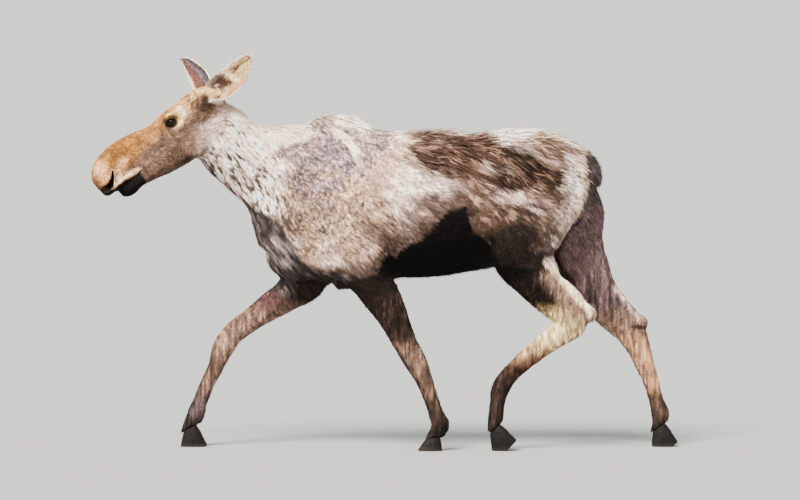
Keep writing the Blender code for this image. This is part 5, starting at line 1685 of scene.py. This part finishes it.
class MOOSE_OT_hooves(bpy.types.Operator):
    """Rounds the claws and dew claws, flat at the sole, and gives them ridged horn"""

    bl_idname = "moose.hooves"
    bl_label = "Hooves"

    def execute(self, context):
        material = horn_finish(np.array(context.scene.moose_colours.horn))
        for limb, side in itertools.product(("fore", "hind"), ("left", "right")):
            names = sorted(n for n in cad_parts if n.startswith(limb) and "claw" in n and side in n)
            mesh = bpy.data.meshes.new(f"hoof_{limb}_{side}")
            with editing(mesh) as whole:
                for name in names:
                    claw = remeshed(joined_nodes([name], HORN_SWELL), HORN_GRAIN)
                    points = points_of(claw)
                    sole = points[:, 2] < SOLE
                    points = rounded(points, edges_of(claw), HORN_PASSES)
                    points[sole, 2] = np.minimum(points[sole, 2], SOLE / 2)
                    points[:, 2] = np.maximum(points[:, 2], 0)
                    set_points(claw, points)
                    whole.from_mesh(claw)
            hoof = finished(f"hoof_{limb}_{side}", mesh, material)
            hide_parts(*names)
            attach(hoof, "root")
        return {"FINISHED"}


# ---- stage ----

WALL_TINT, WALL_STRENGTH = (1.0, 0.985, 0.96), 1.3
SUN_TINT, SUN_STRENGTH, SUN_SPREAD = (1.0, 0.95, 0.89), 14.0, math.radians(28)
SUN_WAY = Vector((-0.6, 0.32, -0.73))
CAMERA_AT = Vector((20, 0.065, 1.6))
CAMERA_TARGET = Vector((0, 0.065, 0.995))


class MOOSE_OT_stage(bpy.types.Operator):
    """Lays the floor and sets up the light and the camera"""

    bl_idname = "moose.stage"
    bl_label = "Stage"

    def execute(self, context):
        scene = context.scene
        disc = bpy.data.meshes.new("floor")
        with editing(disc) as circle:
            bmesh.ops.create_circle(circle, cap_ends=True, segments=96, radius=60)
        floor = new_object("floor", disc)
        floor.location.z = -0.0005
        # The floor gives back as much light as the wall behind it, so that no horizon shows
        wall = np.array(WALL_TINT) * WALL_STRENGTH
        sun = np.array(SUN_TINT) * SUN_STRENGTH
        floor_colour = wall / (wall + sun * -SUN_WAY.normalized().z / math.pi)
        even = Finish("pale_floor", Base_Color=(*floor_colour, 1), Roughness=1.0, Specular_IOR_Level=0.0)
        disc.materials.append(even.material)

        scene.world = bpy.data.worlds.new("studio")
        scene.world.use_nodes = True
        background = scene.world.node_tree.nodes["Background"]
        background.inputs["Color"].default_value = (*WALL_TINT, 1)
        background.inputs["Strength"].default_value = WALL_STRENGTH

        lamp = new_object("key", bpy.data.lights.new("key", "SUN"))
        lamp.data.energy = SUN_STRENGTH
        lamp.data.angle = SUN_SPREAD
        lamp.data.color = SUN_TINT
        lamp.rotation_euler = SUN_WAY.to_track_quat("-Z", "Y").to_euler()

        camera = new_object("camera", bpy.data.cameras.new("camera"))
        camera.data.lens = 180
        camera.data.sensor_width = 36
        camera.data.clip_end = 200
        camera.location = CAMERA_AT
        camera.rotation_euler = (CAMERA_TARGET - CAMERA_AT).to_track_quat("-Z", "Y").to_euler()
        scene.camera = camera
        return {"FINISHED"}


class MOOSE_PT_panel(bpy.types.Panel):
    """Lists the pieces in the sidebar"""

    bl_label = "Moose"
    bl_idname = "MOOSE_PT_panel"
    bl_space_type = "VIEW_3D"
    bl_region_type = "UI"
    bl_category = "Moose"

    def draw(self, context):
        for operator in OPERATORS:
            self.layout.operator(operator.bl_idname)


OPERATORS = (MOOSE_OT_skin, MOOSE_OT_coat, MOOSE_OT_long_hair, MOOSE_OT_eyes, MOOSE_OT_hooves, MOOSE_OT_stage)
CLASSES = (MooseSizes, MooseColours, MOOSE_PT_panel) + OPERATORS


def register():
    for cls in CLASSES:
        bpy.utils.register_class(cls)
    bpy.types.Scene.moose_sizes = PointerProperty(type=MooseSizes)
    bpy.types.Scene.moose_colours = PointerProperty(type=MooseColours)


def unregister():
    del bpy.types.Scene.moose_colours
    del bpy.types.Scene.moose_sizes
    for cls in reversed(CLASSES):
        bpy.utils.unregister_class(cls)


def main():
    register()
    bpy.ops.moose.skin()
    bpy.ops.moose.coat()
    bpy.ops.moose.long_hair()
    bpy.ops.moose.eyes()
    bpy.ops.moose.hooves()
    bpy.ops.moose.stage()


if __name__ == "__main__":
    main()
